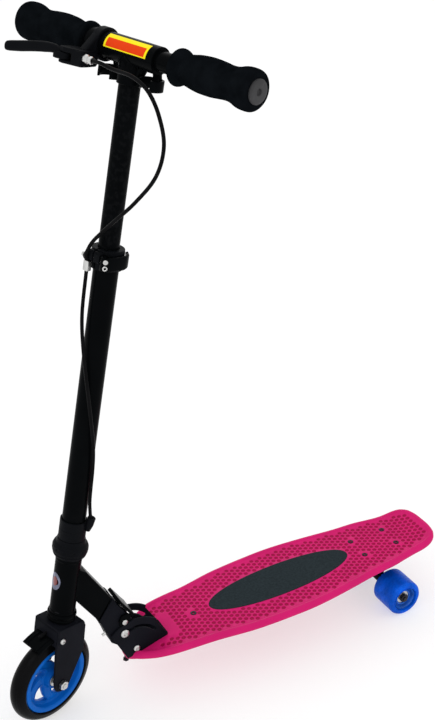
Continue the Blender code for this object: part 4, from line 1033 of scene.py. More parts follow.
    def pockets(self, shell: Shell, centre: Array, rings: Array) -> None:
        """Makes the walls of the pockets between their rings and their floors as fans round a middle point, all with
        painted shade.

        Args:
            shell: The deck's shell.
            centre: Middles of the pockets.
            rings: Outlines of the pockets, one set a depth.
        """
        n, m = len(centre), self.corners
        # painted shade: each ring's share of the deeper pink
        _, sink, shade_share = (np.array(column)[:, None, None] for column in zip(*self.rings))
        points = np.concatenate([rings, (self.top(rings[..., 0]) + sink)[..., None]], axis=-1)
        ids = np.arange(len(self.rings) * n * m).reshape(len(self.rings), n, m)
        a, b = ids[:-1], ids[1:]
        quads = np.stack([a, np.roll(a, -1, axis=-1), np.roll(b, -1, axis=-1), b], axis=-1).reshape(-1, 4)
        shell.add(points, quads, np.broadcast_to(shade_share[..., None], (*ids.shape, 2)))
        low = np.column_stack([centre, self.top(centre[:, 0]) + self.rings[-1][1] - 0.1])
        floor = np.concatenate([points[-1], low[:, None]], axis=1)
        base, k = np.arange(n)[:, None] * (m + 1), np.arange(m)[None]
        fans = np.stack([base + k, base + (k + 1) % m, base + m + 0 * k], axis=-1).reshape(-1, 3)
        # painted shade: the pocket floors take the full share
        shell.add(floor, fans, np.ones((n * (m + 1), 2)))

    def underside(self, shell: Shell, edge: Array) -> None:
        """Closes the underside with straight lines from each point of the rim's edge to its mirror image.

        Args:
            shell: The deck's shell.
            edge: Inner edge of the rim on the underside.
        """
        count = len(edge)
        split = np.roll(edge, -int(edge[:, 0].argmin()), axis=0)
        half = count // 2
        one, two = split[:half + 1], np.roll(split, -half, axis=0)[:count - half + 1][::-1]
        share = np.linspace(0.0, 1.0, 9)[None, :, None]
        shell.grid(one[:, None] * (1 - share) + two[:, None] * share)

    def ribs(self, shell: Shell) -> None:
        """Adds the stiffening ribs under the board: thin bars along it and across it, hung from its underside.

        Args:
            shell: The deck's shell.
        """
        x = np.linspace(-300.0, -528.0, 60)[:, None]
        section = np.array([(-1.1, 0.6), (-0.8, -2.6), (0.8, -2.6), (1.1, 0.6)])
        for y in (-44.0, -22.0, 0.0, 22.0, 44.0):
            grid = np.stack(np.broadcast_arrays(x, y + section[:, 0], self.under(x) + section[:, 1]), axis=-1)
            shell.grid(capped(grid, grid.mean(axis=1)), False, True)
        for x0 in np.arange(-318.0, -520.0, -24.0):
            base = float(self.under(x0))
            bar = [(x0 - 1, base + 0.6), (x0 + 1, base + 0.6), (x0 + 0.8, base - 2.4), (x0 - 0.8, base - 2.4)]
            shell.plate(rounded(bar, 0.3), -50.0, 50.0, Lay.SIDE, 0.3)

    def pad(self) -> Shell:
        """Makes the oval pad: rings of one outline, x = middle + reach cos a and y = half sin(a)^0.95, drawn in towards
        the middle and rounded down at the edge.

        Returns:
            The pad's shell.
        """
        angle = circle(240)
        middle, reach = self.pad_place()
        oval = np.stack([reach * np.cos(angle), self.pad_half * np.sign(np.sin(angle))
                         * np.abs(np.sin(angle)) ** 0.95], axis=1)
        share = np.array([0.0, 0.985, 1.0, 1.0, 0.996, 0.99, *np.linspace(0.98, 0.02, 14), 0.0])
        height = np.array([0.05, 0.05, 0.05, 0.5, 0.95, *[1.2] * 16])
        plan = share[:, None, None] * oval[None]
        x = middle + plan[..., 0]
        grid = np.stack([x, plan[..., 1], self.top(x) + height[:, None]], axis=-1)
        return Shell("oval_pad", SCOOTER).grid(grid, False, True)

    def screw(self, name: str, x: float, y: float, head: float, length: float) -> Shell:
        """Makes a countersunk screw with a hexagon socket, its nut and its shank below the board.

        Args:
            name: Name of the piece.
            x: Place along the board.
            y: Place across it.
            head: Radius of the head.
            length: From the board's top to the nut's foot.

        Returns:
            The screw's shell.
        """
        top = float(self.top(x)) + 0.25
        shell = Shell(name, SCOOTER)
        rows = [(0, -1.7), (1.9, -1.7), (1.9, 0.0), (2.3, 0.25), (head - 0.7, 0.25), (head, -0.15), (head - 0.2, -0.9),
                (2.5, -2.2), (2.5, -length - 1.2), (2.0, -length - 1.6), (0, -length - 1.6)]
        shell.turned((x, y, top), RISE, rows, 48, hexed=(1, 2))
        nut = [(2.5, -length + 3.2), (4.0, -length + 3.2), (4.25, -length + 2.9), (4.25, -length + 0.3),
               (4.0, -length), (2.5, -length)]
        return shell.turned((x, y, top), RISE, nut, 48, True, hexed=(1, 2, 3, 4))

    def build(self) -> None:
        """Builds the board, the pad and the screws."""
        shell = Shell("deck_board", SCOOTER)
        upper, lower = self.rim(shell, self.outline())
        self.top_field(shell, upper)
        self.underside(shell, lower)
        self.ribs(shell)
        shell.build(PINK, "deck_body", "deck", slot="pink_plastic", angle=40.0)
        self.pad().build(PAD, "deck_body", "deck_pad", slot="grey_print")
        plate_foot = float(self.at(-585.0, 1)) - self.thick + 3.5 - 7.5
        for number, (x, y) in enumerate(self.bolts[:4]):
            length = float(self.top(x)) - plate_foot + 4.0
            self.screw(f"deck_screw_{number + 1}", x, y, 4.3, length).build(
                OXIDE, "deck_body", f"truck_bolt_{number + 1}", slot="dark_steel")
        self.screw("nose_screw", *self.bolts[4], 4.6, 17.0).build(
            OXIDE, "deck_body", "deck_front_bolt", slot="dark_steel")


@dataclass
class Bracket:
    """The folding bracket on the nose: a channel with two cheeks and its bolts."""

    pivot: tuple = (-134.5, 80.0)
    lock: tuple = (-116.5, 115.5)
    out: float = 20.0
    inner: float = 16.5
    arc_r: float = 54.5
    fold: float = 79.0

    def slot_loop(self) -> Array:
        """Gives the curved slot: a band round the pivot from the lock's place through the fold, with round ends.

        Returns:
            The slot's outline.
        """
        arm = np.subtract(self.lock, self.pivot)
        reach, lean = float(np.hypot(*arm)), math.degrees(math.atan2(arm[1], arm[0]))
        far = math.radians(lean + self.fold)
        end = np.asarray(self.pivot) + reach * np.array([math.cos(far), math.sin(far)])
        half = 3.25
        return np.vstack([arc(self.pivot, reach + half, lean, lean + self.fold, 36),
                          arc(end, half, lean + self.fold, lean + self.fold + 180, 10)[1:-1],
                          arc(self.pivot, reach - half, lean + self.fold, lean, 36),
                          arc(self.lock, half, lean - 180, lean, 10)[1:-1]])

    def build(self, deck: Deck) -> None:
        """Builds the channel and the pivot bolt.

        Args:
            deck: The board that the bracket sits on.
        """
        rail = np.array([-119.5, -129.0, -139.0, -155.0, -173.0, -189.0])
        foot = [(float(x), float(deck.top(x)) + 0.3) for x in rail]
        back = rounded([*foot, (-168.8, 118.0)], 2.0, False, 4)
        edge = np.vstack([back, arc(self.pivot, self.arc_r, 131.0, 43.0, 60)])
        shell = Shell("fold_bracket", SCOOTER)
        shell.pair(edge, self.inner, self.out, 0.9, (self.slot_loop(), hole(self.pivot, 3.2, 28)))
        floor = foot + [(x, z + 2.5) for x, z in foot[::-1]]
        shell.plate(rounded(floor, 0.5), -self.inner - 0.6, self.inner + 0.6, Lay.SIDE, 0.3)
        shell.build(SATIN, "deck_body", "hinge_bracket", slot="black_paint")
        self.bolt("pivot_pin", self.pivot, 5.4, 2.8, 3.0).build(ZINC, "deck_body", "pivot_bolt", slot="zinc_steel")
        top = float(deck.top(-124.5)) + 2.8 + 1.6
        rows = [(0, -0.6), (1.8, -0.6), (1.8, 0.9), (3.4, 1.9), (4.4, 0.6), (4.5, 0.0), (2.5, 0.0), (2.5, -20.5),
                (4.3, -20.5), (4.3, -23.2), (2.5, -23.2), (2.4, -23.8), (0, -23.8)]
        Shell("bracket_screw", SCOOTER).turned((-124.5, 0, top), RISE, rows, 48, hexed=(1, 2, 8, 9)).build(
            OXIDE, "deck_body", "bracket_bolt", slot="zinc_steel")

    def bolt(self, name: str, spot: tuple, head: float, tall: float, shank: float) -> Shell:
        """Makes a cross bolt: a domed head with a socket on the left, a shank and a hexagon nut on the right.

        Args:
            name: Name of the piece.
            spot: Its axis, in the side view.
            head: Radius of the head.
            tall: Height of the head.
            shank: Radius of the shank.

        Returns:
            The bolt's shell.
        """
        y = self.out + 0.3
        rows = [(0, y + tall * 0.35), (head * 0.42, y + tall * 0.35), (head * 0.42, y + tall * 0.93),
                (head * 0.5, y + tall), (head * 0.78, y + tall * 0.8), (head * 0.96, y + tall * 0.4),
                (head, y + 0.2), (head - 0.2, y), (shank, y), (shank, -y), (head * 0.9, -y), (head * 0.92, -y - 2.6),
                (head * 0.8, -y - 3.0), (shank, -y - 3.0), (shank - 0.4, -y - 4.2), (0, -y - 4.2)]
        return Shell(name, SCOOTER).turned((spot[0], 0, spot[1]), ACROSS, rows, 54, hexed=(1, 2, 10, 11, 12))


@dataclass
class Neck:
    """The head tube with its beam, the hinge block, the lock bolt and the release lever."""

    foot: Point = (6.9, 0.0, 0.0)
    low: float = 187.0
    high: float = 279.0
    radius: float = 19.0
    lever_pin: tuple = (-117.5, 136.4)

    def head(self) -> Shell:
        """Makes the head tube, its lips, the square beam and the weld between them.

        Returns:
            The neck's shell.
        """
        shell = Shell("neck_beam", SCOOTER)
        r, lo, hi = self.radius, self.low, self.high
        rows = [(15.7, lo), (r + 0.4, lo), (r + 0.4, lo + 4.0), (r, lo + 4.8), (r, hi - 4.8), (r + 0.4, hi - 4.0),
                (r + 0.4, hi), (15.7, hi)]
        shell.turned(self.foot, UP, rows, 96, True, radius=0.5)
        beam = [(-44.0, 257.0), (-54.0, 253.5), (-66.0, 243.4), (-102.0, 183.0), (-79.0, 149.5), (-46.0, 200.0),
                (-36.0, 217.0)]
        shell.plate(rounded(beam, 2.0), -16.0, 16.0, Lay.SIDE, 3.0)
        angle = circle(120)
        y = 15.4 * np.clip(1.25 * np.cos(angle), -1, 1)
        s = 233.0 + 21.5 * np.clip(1.25 * np.sin(angle), -1, 1)
        back = np.sqrt(np.maximum(r * r - y * y, 1.0))
        line = np.asarray(self.foot) + s[:, None] * np.asarray(UP) - back[:, None] * np.asarray(AHEAD)
        line[:, 1] = y
        return shell.bead(line, 1.5)

    def badge(self) -> None:
        """Makes a plain oval plate with a raised rim and a red middle, bent round the head tube."""
        angle = circle(72)
        plate = [(1.0, -0.4), (1.0, 0.35), (0.96, 0.55), (0.9, 0.55), (0.86, 0.35), (0, 0.35)]
        middle = [(1.0, 0.2), (1.0, 0.5), (0.9, 0.62), (0.5, 0.68), (0, 0.7)]
        for name, finish, wide, tall, steps in (("badge_plate", BADGE, 10.5, 14.0, plate),
                                                ("badge_middle", BADGE_RED, 5.0, 7.5, middle)):
            share, lift = np.array(steps).T
            around = (share[:, None] * wide * np.cos(angle)) / self.radius + math.radians(9.0)
            along = 240.5 + share[:, None] * tall * np.sin(angle)
            r = self.radius + lift[:, None]
            grid = np.asarray(self.foot) + sum(size[..., None] * np.asarray(axis) for size, axis in (
                (along, UP), (r * np.cos(around), AHEAD), (r * np.sin(around), ACROSS)))
            Shell(name, SCOOTER).grid(grid, False, True).build(finish, "neck")

    def block(self, bracket: Bracket) -> Shell:
        """Makes the cast hinge block between the cheeks, with a collar under the beam that stands proud of its sides.

        Args:
            bracket: The bracket it folds in.

        Returns:
            The block's shell.
        """
        body = np.vstack([[(-102.7, 182.3), (-105.0, 180.0), (-108.0, 172.0), (-131.0, 135.5)],
                          arc(bracket.pivot, 7.5, 172.0, 318.0, 10),
                          [(-96.0, 103.0), (-92.5, 114.0), (-81.5, 143.5), (-79.3, 148.9)]])
        shell = Shell("hinge_casting", SCOOTER)
        holes = (hole(bracket.pivot, 3.3, 24), hole(bracket.lock, 3.3, 24), hole(self.lever_pin, 2.8, 24))
        shell.plate(rounded(body, 1.2), -16.2, 16.2, Lay.SIDE, 1.0, holes)
        collar = [(-102.4, 184.4), (-104.8, 179.4), (-81.0, 146.4), (-77.0, 149.4)]
        return shell.plate(rounded(collar, 1.4), -17.2, 17.2, Lay.SIDE, 1.4)

    def lever(self, bracket: Bracket) -> Shell:
        """Makes the release lever: two ears on the pin and a finger plate that joins them above the block.

        Args:
            bracket: The bracket it bears on.

        Returns:
            The lever's shell.
        """
        ear = np.vstack([arc(bracket.pivot, 55.8, 64.0, 69.0, 6), arc(self.lever_pin, 4.4, 250.0, 190.0, 8),
                         [(-127.0, 141.0), (-130.0, 143.4), (-124.0, 150.2), (-113.5, 149.0), (-110.5, 145.0),
                          (-108.5, 139.5)]])
        shell = Shell("release_yoke", SCOOTER)
        shell.pair(rounded(ear, 0.8, True, 3), 16.6, 20.0, 0.9, (hole(self.lever_pin, 2.7, 20),))
        plate = [(-134.6, 144.9), (-129.0, 152.9), (-113.5, 176.9), (-108.4, 173.4), (-111.6, 171.8), (-132.6, 139.0)]
        return shell.plate(rounded(plate, 1.2), -20.0, 20.0, Lay.SIDE, 1.2)

    def build(self, bracket: Bracket) -> None:
        """Builds the neck and all that folds with it.

        Args:
            bracket: The bracket it folds in.
        """
        self.head().build(PAINT, "neck", "neck_frame", slot="black_alloy")
        self.badge()
        self.block(bracket).build(SATIN, "neck", "hinge_block", slot="black_alloy")
        self.lever(bracket).build(PAINT, "release", "release_lever", slot="black_paint")
        for name, spot, sizes, node in (("lock_cross_bolt", bracket.lock, (6.9, 3.0, 3.0), "lock_bolt"),
                                        ("lever_cross_pin", self.lever_pin, (4.5, 2.0, 2.5), "lever_pin")):
            bracket.bolt(name, spot, *sizes).build(ZINC, "neck", node, slot="zinc_steel")
        rows = [(0, -14.0), (2.5, -14.0), (2.5, 0.2), (2.2, 0.9), (1.2, 1.0), (1.2, -0.8), (0, -0.8)]
        Shell("angle_screw", SCOOTER).turned((-88.5, 0, 110), (0.94, 0, -0.34), rows, 36, hexed=(4, 5)).build(
            ZINC, "neck", "stop_screw", slot="zinc_steel")
        crown = 172.77
        cup = [(14.4, crown + 0.3), (19.0, crown + 0.3), (20.8, 174.6), (21.4, 176.8), (20.8, 178.6), (19.6, 179.6),
               (21.2, 181), (21.5, 183.6), (21, 185.6), (19.4, 186.7), (14.4, 186.7)]
        Shell("lower_bearing_cup", SCOOTER).turned(self.foot, UP, cup, 96, True, radius=0.5).build(
            PAINT, "neck", "lower_cup", slot="zinc_steel")


@dataclass
class FrontWheel:
    """The steered wheel: tyre, rim with swept windows and two bearings."""

    centre: Point
    tyre_r: float = 72.35
    tyre_half: float = 14.0
    rim_r: float = 56.0
    well_r: float = 47.0
    rim_half: float = 12.8
    windows: int = 5
    sweep: float = 34.0
    first: float = 8.0
    groove: tuple = (6.3, 0.35, 0.45)  # place off the middle, depth and width of the tread's grooves

    def tyre(self) -> Shell:
        """Makes the tyre: a round tread with two fine grooves, over a straight bead.

        Returns:
            The tyre's shell.
        """
        a = np.radians(np.linspace(64.0, -64.0, 41))
        tread = np.stack([self.tyre_r - 13.0 + 13.0 * np.cos(a), (self.tyre_half - 0.5) * np.sin(a)], axis=1)
        place, deep, wide = self.groove
        for spot in (-place, place):
            tread[:, 0] -= deep * np.exp(-((tread[:, 1] - spot) / wide) ** 2)
        bead = [(self.rim_r + 0.5, self.tyre_half - 2.0), (self.rim_r + 1.2, self.tyre_half - 0.7),
                (self.rim_r + 2.6, self.tyre_half - 0.1)]
        rows = np.vstack([bead, tread, [(r, -h) for r, h in bead[::-1]]])
        return Shell("wheel_tyre", STEER).turned(self.centre, ACROSS, rows.tolist(), 144, True)

    def window(self, number: int) -> Array:
        """Gives one swept window: a wide outer arc that runs in to a narrow foot, each point turned on by a share of
        the sweep that grows towards the hub.

        Args:
            number: Which window.

        Returns:
            The window's outline about the wheel's axis.
        """
        mid = 360.0 * number / self.windows + self.first
        corners = [(41.5, -20.0), (41.5, -7.0), (41.5, 6.0), (41.0, 18.0), (33.0, 19.0), (25.0, 14.0), (20.0, 6.0),
                   (20.0, -8.0), (26.0, -15.0), (34.0, -20.0)]
        r, turn = np.array(corners).T
        at = np.radians(mid + turn + self.sweep * (42.0 - r) / 22.0)
        return smooth_line(np.stack([r * np.cos(at), r * np.sin(at)], axis=1), 64, True)

    def rim(self) -> Shell:
        """Makes the rim: a barrel, a hub and a web with swept windows, each edged by a low raised lip.

        Returns:
            The rim's shell.
        """
        shell = Shell("wheel_rim", STEER)
        h, w = self.rim_half, self.well_r
        barrel = mirrored([(self.rim_r, h - 2.0), (self.rim_r - 1.0, h), (w + 2.6, h), (w + 0.6, h - 1.2),
                           (w - 1.4, 5.4), (w - 3.4, 3.4)])
        shell.turned(self.centre, ACROSS, barrel, 144, True, radius=0.8)
        hub = [*mirrored([(11.3, h), (14.6, h), (15.2, h - 0.8), (17.4, 5.0), (20.0, 3.6)]), (11.3, -5.6), (6.0, -5.6),
               (6.0, 5.6), (11.3, 5.6)]
        shell.turned(self.centre, ACROSS, hub, 96, True, radius=0.5)
        outline = hole((0, 0), w - 2.6, 144)
        holes = tuple(self.window(k) for k in range(self.windows))
        bore = hole((0, 0), 18.0, 72)
        move = np.array([self.centre[0], self.centre[2]])
        shell.plate(outline + move, -3.6, 3.6, Lay.SIDE, 0.4, tuple(x + move for x in (*holes, bore)), 1.2)
        for k in range(self.windows):
            line = inset(wound(self.window(k), False), 1.5) + move
            for sign in (1.0, -1.0):
                shell.tube(np.column_stack([line[:, 0], np.full(len(line), sign * 3.7), line[:, 1]]), 0.9, 8, True)
        return shell

    def build(self) -> None:
        """Builds the wheel and its bearings."""
        self.tyre().build(TYRE, "front_wheel", "front_tyre", slot="tyre_rubber")
        self.rim().build(RIM, "front_wheel", "front_rim", slot="blue_rim")
        for name, sign in SIDES:
            Bearing("wheel", name, STEER, self.centre, (0, sign, 0), self.rim_half - 6.7, self.rim_half).build(
                "front_wheel", "front_bearing_" + name)


@dataclass
class Bearing:
    """A ball bearing: two races with a dished shield between them."""

    kind: str
    side: str
    frame: Frame
    centre: Point
    axis: Point
    low: float
    high: float

    def build(self, body: str, node: str) -> None:
        """Builds the bearing.

        Args:
            body: The body it turns with.
            node: The frame's node it stands for.
        """
        lo, hi = self.low, self.high
        rows = [(4.3, lo), (6.6, lo), (6.8, lo + 0.4), (8.9, lo + 0.4), (9.1, lo), (10.8, lo), (11, lo + 0.2),
                (11, hi - 0.2), (10.8, hi), (9.1, hi), (8.9, hi - 0.5), (6.8, hi - 0.5), (6.6, hi), (4.3, hi)]
        Shell(f"{self.kind}_bearing_{self.side}", self.frame).turned(self.centre, self.axis, rows, 72, True).build(
            ZINC, body, node, slot="zinc_steel")


@dataclass
class Axle:
    """A threaded axle with a hexagon nut on each end."""

    name: str
    frame: Frame
    centre: Point
    seat: float
    shank: float
    nut: float
    tall: float

    def shell(self) -> Shell:
        """Makes the axle from half its profile and the mirror image of that half.

        Returns:
            The axle's shell.
        """
        end, shank, nut = self.seat + self.tall, self.shank, self.nut
        rows = mirrored([(0, end + 2.0), (shank - 0.5, end + 2.0), (shank, end + 1.5), (shank, end), (nut - 1.6, end),
                         (nut - 0.6, end - 0.2), (nut, end - 0.9), (nut, self.seat + 0.4), (nut - 0.2, self.seat),
                         (shank, self.seat)])
        return Shell(self.name, self.frame).turned(self.centre, ACROSS, rows, 54, hexed=(6, 7, 12, 13))


@dataclass
class Steering:
    """What turns with the fork: fork, headset, column, height clamp, axle and brake."""

    axle_s: float = 72.469
    axle_f: float = 6.9
    half: float = 26.0
    wall: float = 4.0
    skewer: tuple = (22.0, 730.0)
    cam: tuple = (22.0, 21.0)

    def __post_init__(self) -> None:
        """Works out the wheel's middle, the fork's crown and the pin that the brake shoe turns on."""
        self.centre: Point = (self.axle_f, 0.0, self.axle_s)
        self.crown = self.axle_s + 100.0
        self.pin = (self.axle_f + 10.0, self.axle_s + 79.5)

    def fork(self) -> Shell:
        """Makes the fork: two folded legs, a crown plate with a flange down its front, and the steerer.

        Returns:
            The fork's shell.
        """
        shell = Shell("fork_pressing", STEER)
        leg = [(20, 100), (-29, 100), (-33.5, 91), (-36, 49), (-15, -6), (-8, -12.5), (1, -14), (9, -11), (13.5, -3),
               (16, 14), (20, 59)]
        outline = rounded([(self.axle_f + f, self.axle_s + s) for f, s in leg], 5.0)
        holes = (hole((self.axle_f, self.axle_s), 4.3, 24), hole(self.pin, 2.8, 18))
        shell.pair(outline, self.half - self.wall, self.half, 1.3, holes)
        top = self.crown
        crown = [(self.axle_f + 20, top), (self.axle_f - 29, top), (self.axle_f - 33.2, top - 7.0),
                 (self.axle_f + 20, top - 7.0)]
        shell.plate(rounded(crown, 2.5), -self.half + 0.8, self.half - 0.8, Lay.SIDE, 0.6)
        front = [(-self.half, top), (self.half, top), (self.half, top - 24.0), (self.half - 4.5, top - 30.0),
                 (4.5 - self.half, top - 30.0), (-self.half, top - 24.0)]
        inner = self.axle_f + 20.0
        shell.plate(rounded(front, 2.5), inner - 3.4, inner, Lay.FRONT, 0.9)
        rows = [(11.0, top - 3.0), (14.0, top - 3.0), (14.0, 329.4), (13.4, 330.0), (11.0, 330.0)]
        shell.turned((0, 0, 0), RISE, rows, 64, True)
        angle = circle(96)
        ring = np.stack([14.6 * np.cos(angle), 14.6 * np.sin(angle), np.full(96, top - 0.2)], axis=1)
        return shell.bead(ring, 0.9)

    def headset(self) -> None:
        """Makes the rounded locknut with its dimples, and the sleeve with the cable's port above it."""
        profile = rounded([(14.4, 279.3), (20.2, 279.3), (20.4, 281.8), (23.6, 283.2), (24.4, 285.2), (23.9, 287.0),
                           (25.4, 288.6), (26.0, 292.0), (25.9, 297.5), (24.4, 301.0), (21.4, 303.6), (20.2, 309.7),
                           (14.4, 309.7)], 0.8, True, 6)
        dense = smooth_line(profile, 240, True)
        angle = circle(192)
        count, reach, wide, tall, middle, deep = 12, 25.0, 1.5, 1.7, 296.0, 1.3
        step = TURN / count
        off = (angle + step / 2) % step - step / 2
        dimple = np.exp(-((off * reach) / wide) ** 2)[None] * np.exp(-((dense[:, 1:] - middle) / tall) ** 2)
        r = dense[:, :1] - np.where(dense[:, :1] > 22.0, deep * dimple, 0.0)
        grid = np.stack([r * np.cos(angle), r * np.sin(angle), dense[:, 1:] + 0 * r], axis=-1)
        Shell("head_locknut", STEER).grid(grid, True, True).build(
            PLASTIC, "steering", "locknut_ring", slot="black_plastic")
        shell = Shell("port_sleeve", STEER)
        rows = [(17.3, 310.0), (19.5, 310.0), (19.5, 325.4), (19.1, 325.8), (19.5, 326.2), (19.5, 339.4), (18.9, 340.0),
                (17.3, 340.0)]
        shell.turned((0, 0, 0), RISE, rows, 96, True, radius=0.25)
        lug = [(2.8, 9.0), (5.4, 9.0), (6.0, 8.4), (6.0, -3.0), (4.2, -13.0), (2.8, -13.0)]
        shell.turned((-11.6, 20.8, 339.0), (-0.09, 0.17, 1.0), lug, 48, True, radius=0.5)
        shell.build(PLASTIC, "steering", "cable_port_sleeve", slot="black_plastic")

    def column(self) -> None:
        """Makes the lower column tube, with a fine rolled lip at its foot."""
        rows = [(14.4, 311.3), (17.0, 311.3), (17.0, 732.4), (16.4, 733.0), (14.4, 733.0)]
        Shell("column_lower", STEER).turned((0, 0, 0), RISE, rows, 96, True).build(
            PAINT, "steering", "column_tube", slot="black_alloy")

    def clamp(self) -> None:
        """Makes the height clamp: a slit collar with two ears, its skewer, its cam lever and the cable's guide."""
        shell = Shell("clamp_collar", STEER)
        rows = rounded([(14.35, 743.0), (21.4, 743.0), (22.0, 738.5), (21.6, 729.0), (22.0, 720.0), (21.4, 715.5),
                        (17.3, 715.5), (17.3, 733.4), (14.35, 733.4)], 0.7, True, 4)
        angle = np.radians(np.linspace(4.0, 356.0, 120))
        grid = np.stack([rows[:, :1] * np.cos(angle), rows[:, :1] * np.sin(angle), rows[:, 1:] + 0 * angle], axis=-1)
        shell.grid(grid, True, False)
        faces = np.asarray(tessellate_polygon([[Vector((float(r), float(s), 0.0)) for r, s in rows]]))
        for end in (0, -1):
            shell.add(grid[:, end], faces)
        ear = rounded([(17.5, 726.2), (24.5, 726.2), (27.0, 728.0), (27.0, 738.5), (24.5, 741.0), (17.5, 741.0)], 2.0)
        for low, high in ((-10.0, -1.0), (1.0, 12.0)):
            shell.plate(ear, low, high, Lay.SIDE, 1.0, (hole(self.skewer, 3.2, 20),))
        shell.build(PLASTIC, "steering", "height_clamp", slot="black_plastic")
        self.clamp_lever()
        nut, f, s = -10.3, *self.skewer
        rows = [(0, 23.5), (2.7, 23.5), (3, 23.2), (3, nut - 8.0), (3.4, nut - 8.2), (3.4, nut - 12.0),
                (2.6, nut - 12.8), (0, nut - 13.0)]
        shell = Shell("clamp_bolt", STEER).turned((f, 0, s), ACROSS, rows, 54)
        shell.turned((*self.cam, s), RISE, mirrored([(0, -7.5), (2.2, -7.5), (2.4, -7.2)]), 24)
        shell.build(ZINC, "steering", "clamp_skewer", slot="zinc_steel")
        rows = [(3.0, nut), (5.8, nut), (6.2, nut - 0.4), (6.4, nut - 3.0), (6.2, nut - 5.4), (5.6, nut - 6.0),
                (5.0, nut - 7.4), (4.4, nut - 7.9), (3.0, nut - 8.0)]
        Shell("clamp_barrel_nut", STEER).turned((f, 0, s), ACROSS, rows, 54, True, radius=0.4).build(
            PLASTIC, "steering")
        guide = rounded([(21.8, -13.4), (29.6, -13.4), (29.6, -4.6), (21.8, -4.6)], 1.4)
        shell = Shell("cable_block", STEER).plate(guide, 711.8, 725.6, Lay.TOP, 0.8, (hole((25.9, -9), 2.85, 24),))
        shell.build(ZINC, "steering", "cable_guide", slot="zinc_steel")

    def clamp_lever(self) -> None:
        """Makes the cam lever: a round cam that runs out into a blade curved round the column."""
        outer = arc(self.cam, 8.0, 20.0, -110.0, 16)
        inner_side = smooth_line([(19.26, 13.48), (14.5, 18.0), (10.5, 22.0), (3.0, 26.0), (-6.0, 24.5), (-14.0, 19.0),
                                  (-19.5, 12.0)], 36)[1:]
        outer_side = smooth_line([(-22.0, 14.5), (-16.0, 23.0), (-7.5, 28.5), (3.0, 30.0), (14.0, 29.4), (24.0, 27.4),
                                  (29.5, 23.7)], 36)[:-1]
        outline = np.vstack([outer, inner_side, outer_side])
        shell = Shell("clamp_cam_lever", STEER)
        shell.plate(outline, 720.5, 739.0, Lay.TOP, 2.2, (hole(self.cam, 2.6, 20),))
        shell.build(PAINT, "clamp", "clamp_lever", slot="black_paint")
        dome = [(0, 0.6), (1.6, 0.55), (2.8, 0.35), (3.4, 0.0), (3.4, -1.2), (0, -1.2)]
        screw = [(0, -0.8), (1.6, -0.8), (1.6, 0.4), (2.0, 0.6), (2.9, 0.4), *dome[3:]]
        for name, s, head, hexed in (("cam_dome", 733.5, dome, ()), ("cam_screw", 725.2, screw, (1, 2))):
            Shell(name, STEER).turned((27.4, 25.1, s), (0.56, 0.83, 0), head, 36, hexed=hexed).build(ZINC, "clamp")

    def axle(self) -> None:
        """Makes the front axle with its nuts and the two spacers."""
        Axle("front_axle_bolt", STEER, self.centre, self.half + 0.3, 4.0, 6.5, 6.5).shell().build(
            ZINC, "steering", "front_axle", slot="zinc_steel")
        lo, hi = 13.1, self.half - self.wall - 0.3
        spacer = [(4.3, lo), (6.4, lo), (7, lo + 0.6), (7, hi - 0.6), (6.4, hi), (4.3, hi)]
        for name, sign in SIDES:
            Shell("axle_washer_" + name, STEER).turned(self.centre, (0, sign, 0), spacer, 48, True).build(
                PLASTIC, "steering", "axle_spacer_" + name, slot="black_plastic")

    def brake(self) -> None:
        """Makes the brake shoe over the tyre, its sleeve and its bolt."""
        spot = (self.pin[0], 0.0, self.pin[1])
        middle = (self.axle_f, self.axle_s)
        band = np.vstack([arc(middle, 83.0, 82.8, 56.0, 30), arc(middle, 79.5, 56.0, 82.8, 30)])
        shell = Shell("brake_plate", STEER).plate(band, -19.0, 19.0, Lay.SIDE, 0.9)
        ridge = np.vstack([arc(middle, 83.9, 80.0, 57.0, 20), arc(middle, 82.6, 57.0, 80.0, 20)])
        for y in (-11.0, 11.0):
            shell.plate(ridge, y - 1.5, y + 1.5, Lay.SIDE, 0.5)
        shell.turned(spot, ACROSS, mirrored([(2.8, -21), (4.6, -21), (5, -20.6)]), 48, True)
        shell.build(PAINT, "shoe", "brake_shoe", slot="black_paint")
        y = self.half + 0.3
        rows = [(0, y + 1.0), (1.7, y + 1.0), (1.7, y + 2.3), (2.2, y + 2.6), (3.8, y + 1.9), (4.5, y + 0.6), (4.6, y),
                (2.5, y), (2.5, -y), (4.3, -y), (4.3, -y - 3.6), (3.6, -y - 4), (2.5, -y - 4), (2.1, -y - 5.4),
                (0, -y - 5.4)]
        Shell("brake_cross_bolt", STEER).turned(spot, ACROSS, rows, 48, hexed=(1, 2, 9, 10)).build(
            ZINC, "steering", "brake_bolt", slot="zinc_steel")

    def build(self) -> None:
        """Builds the steering assembly."""
        self.fork().build(SATIN, "steering", "fork", slot="black_alloy")
        self.headset()
        self.column()
        self.clamp()
        self.axle()
        self.brake()
        FrontWheel(self.centre).build()


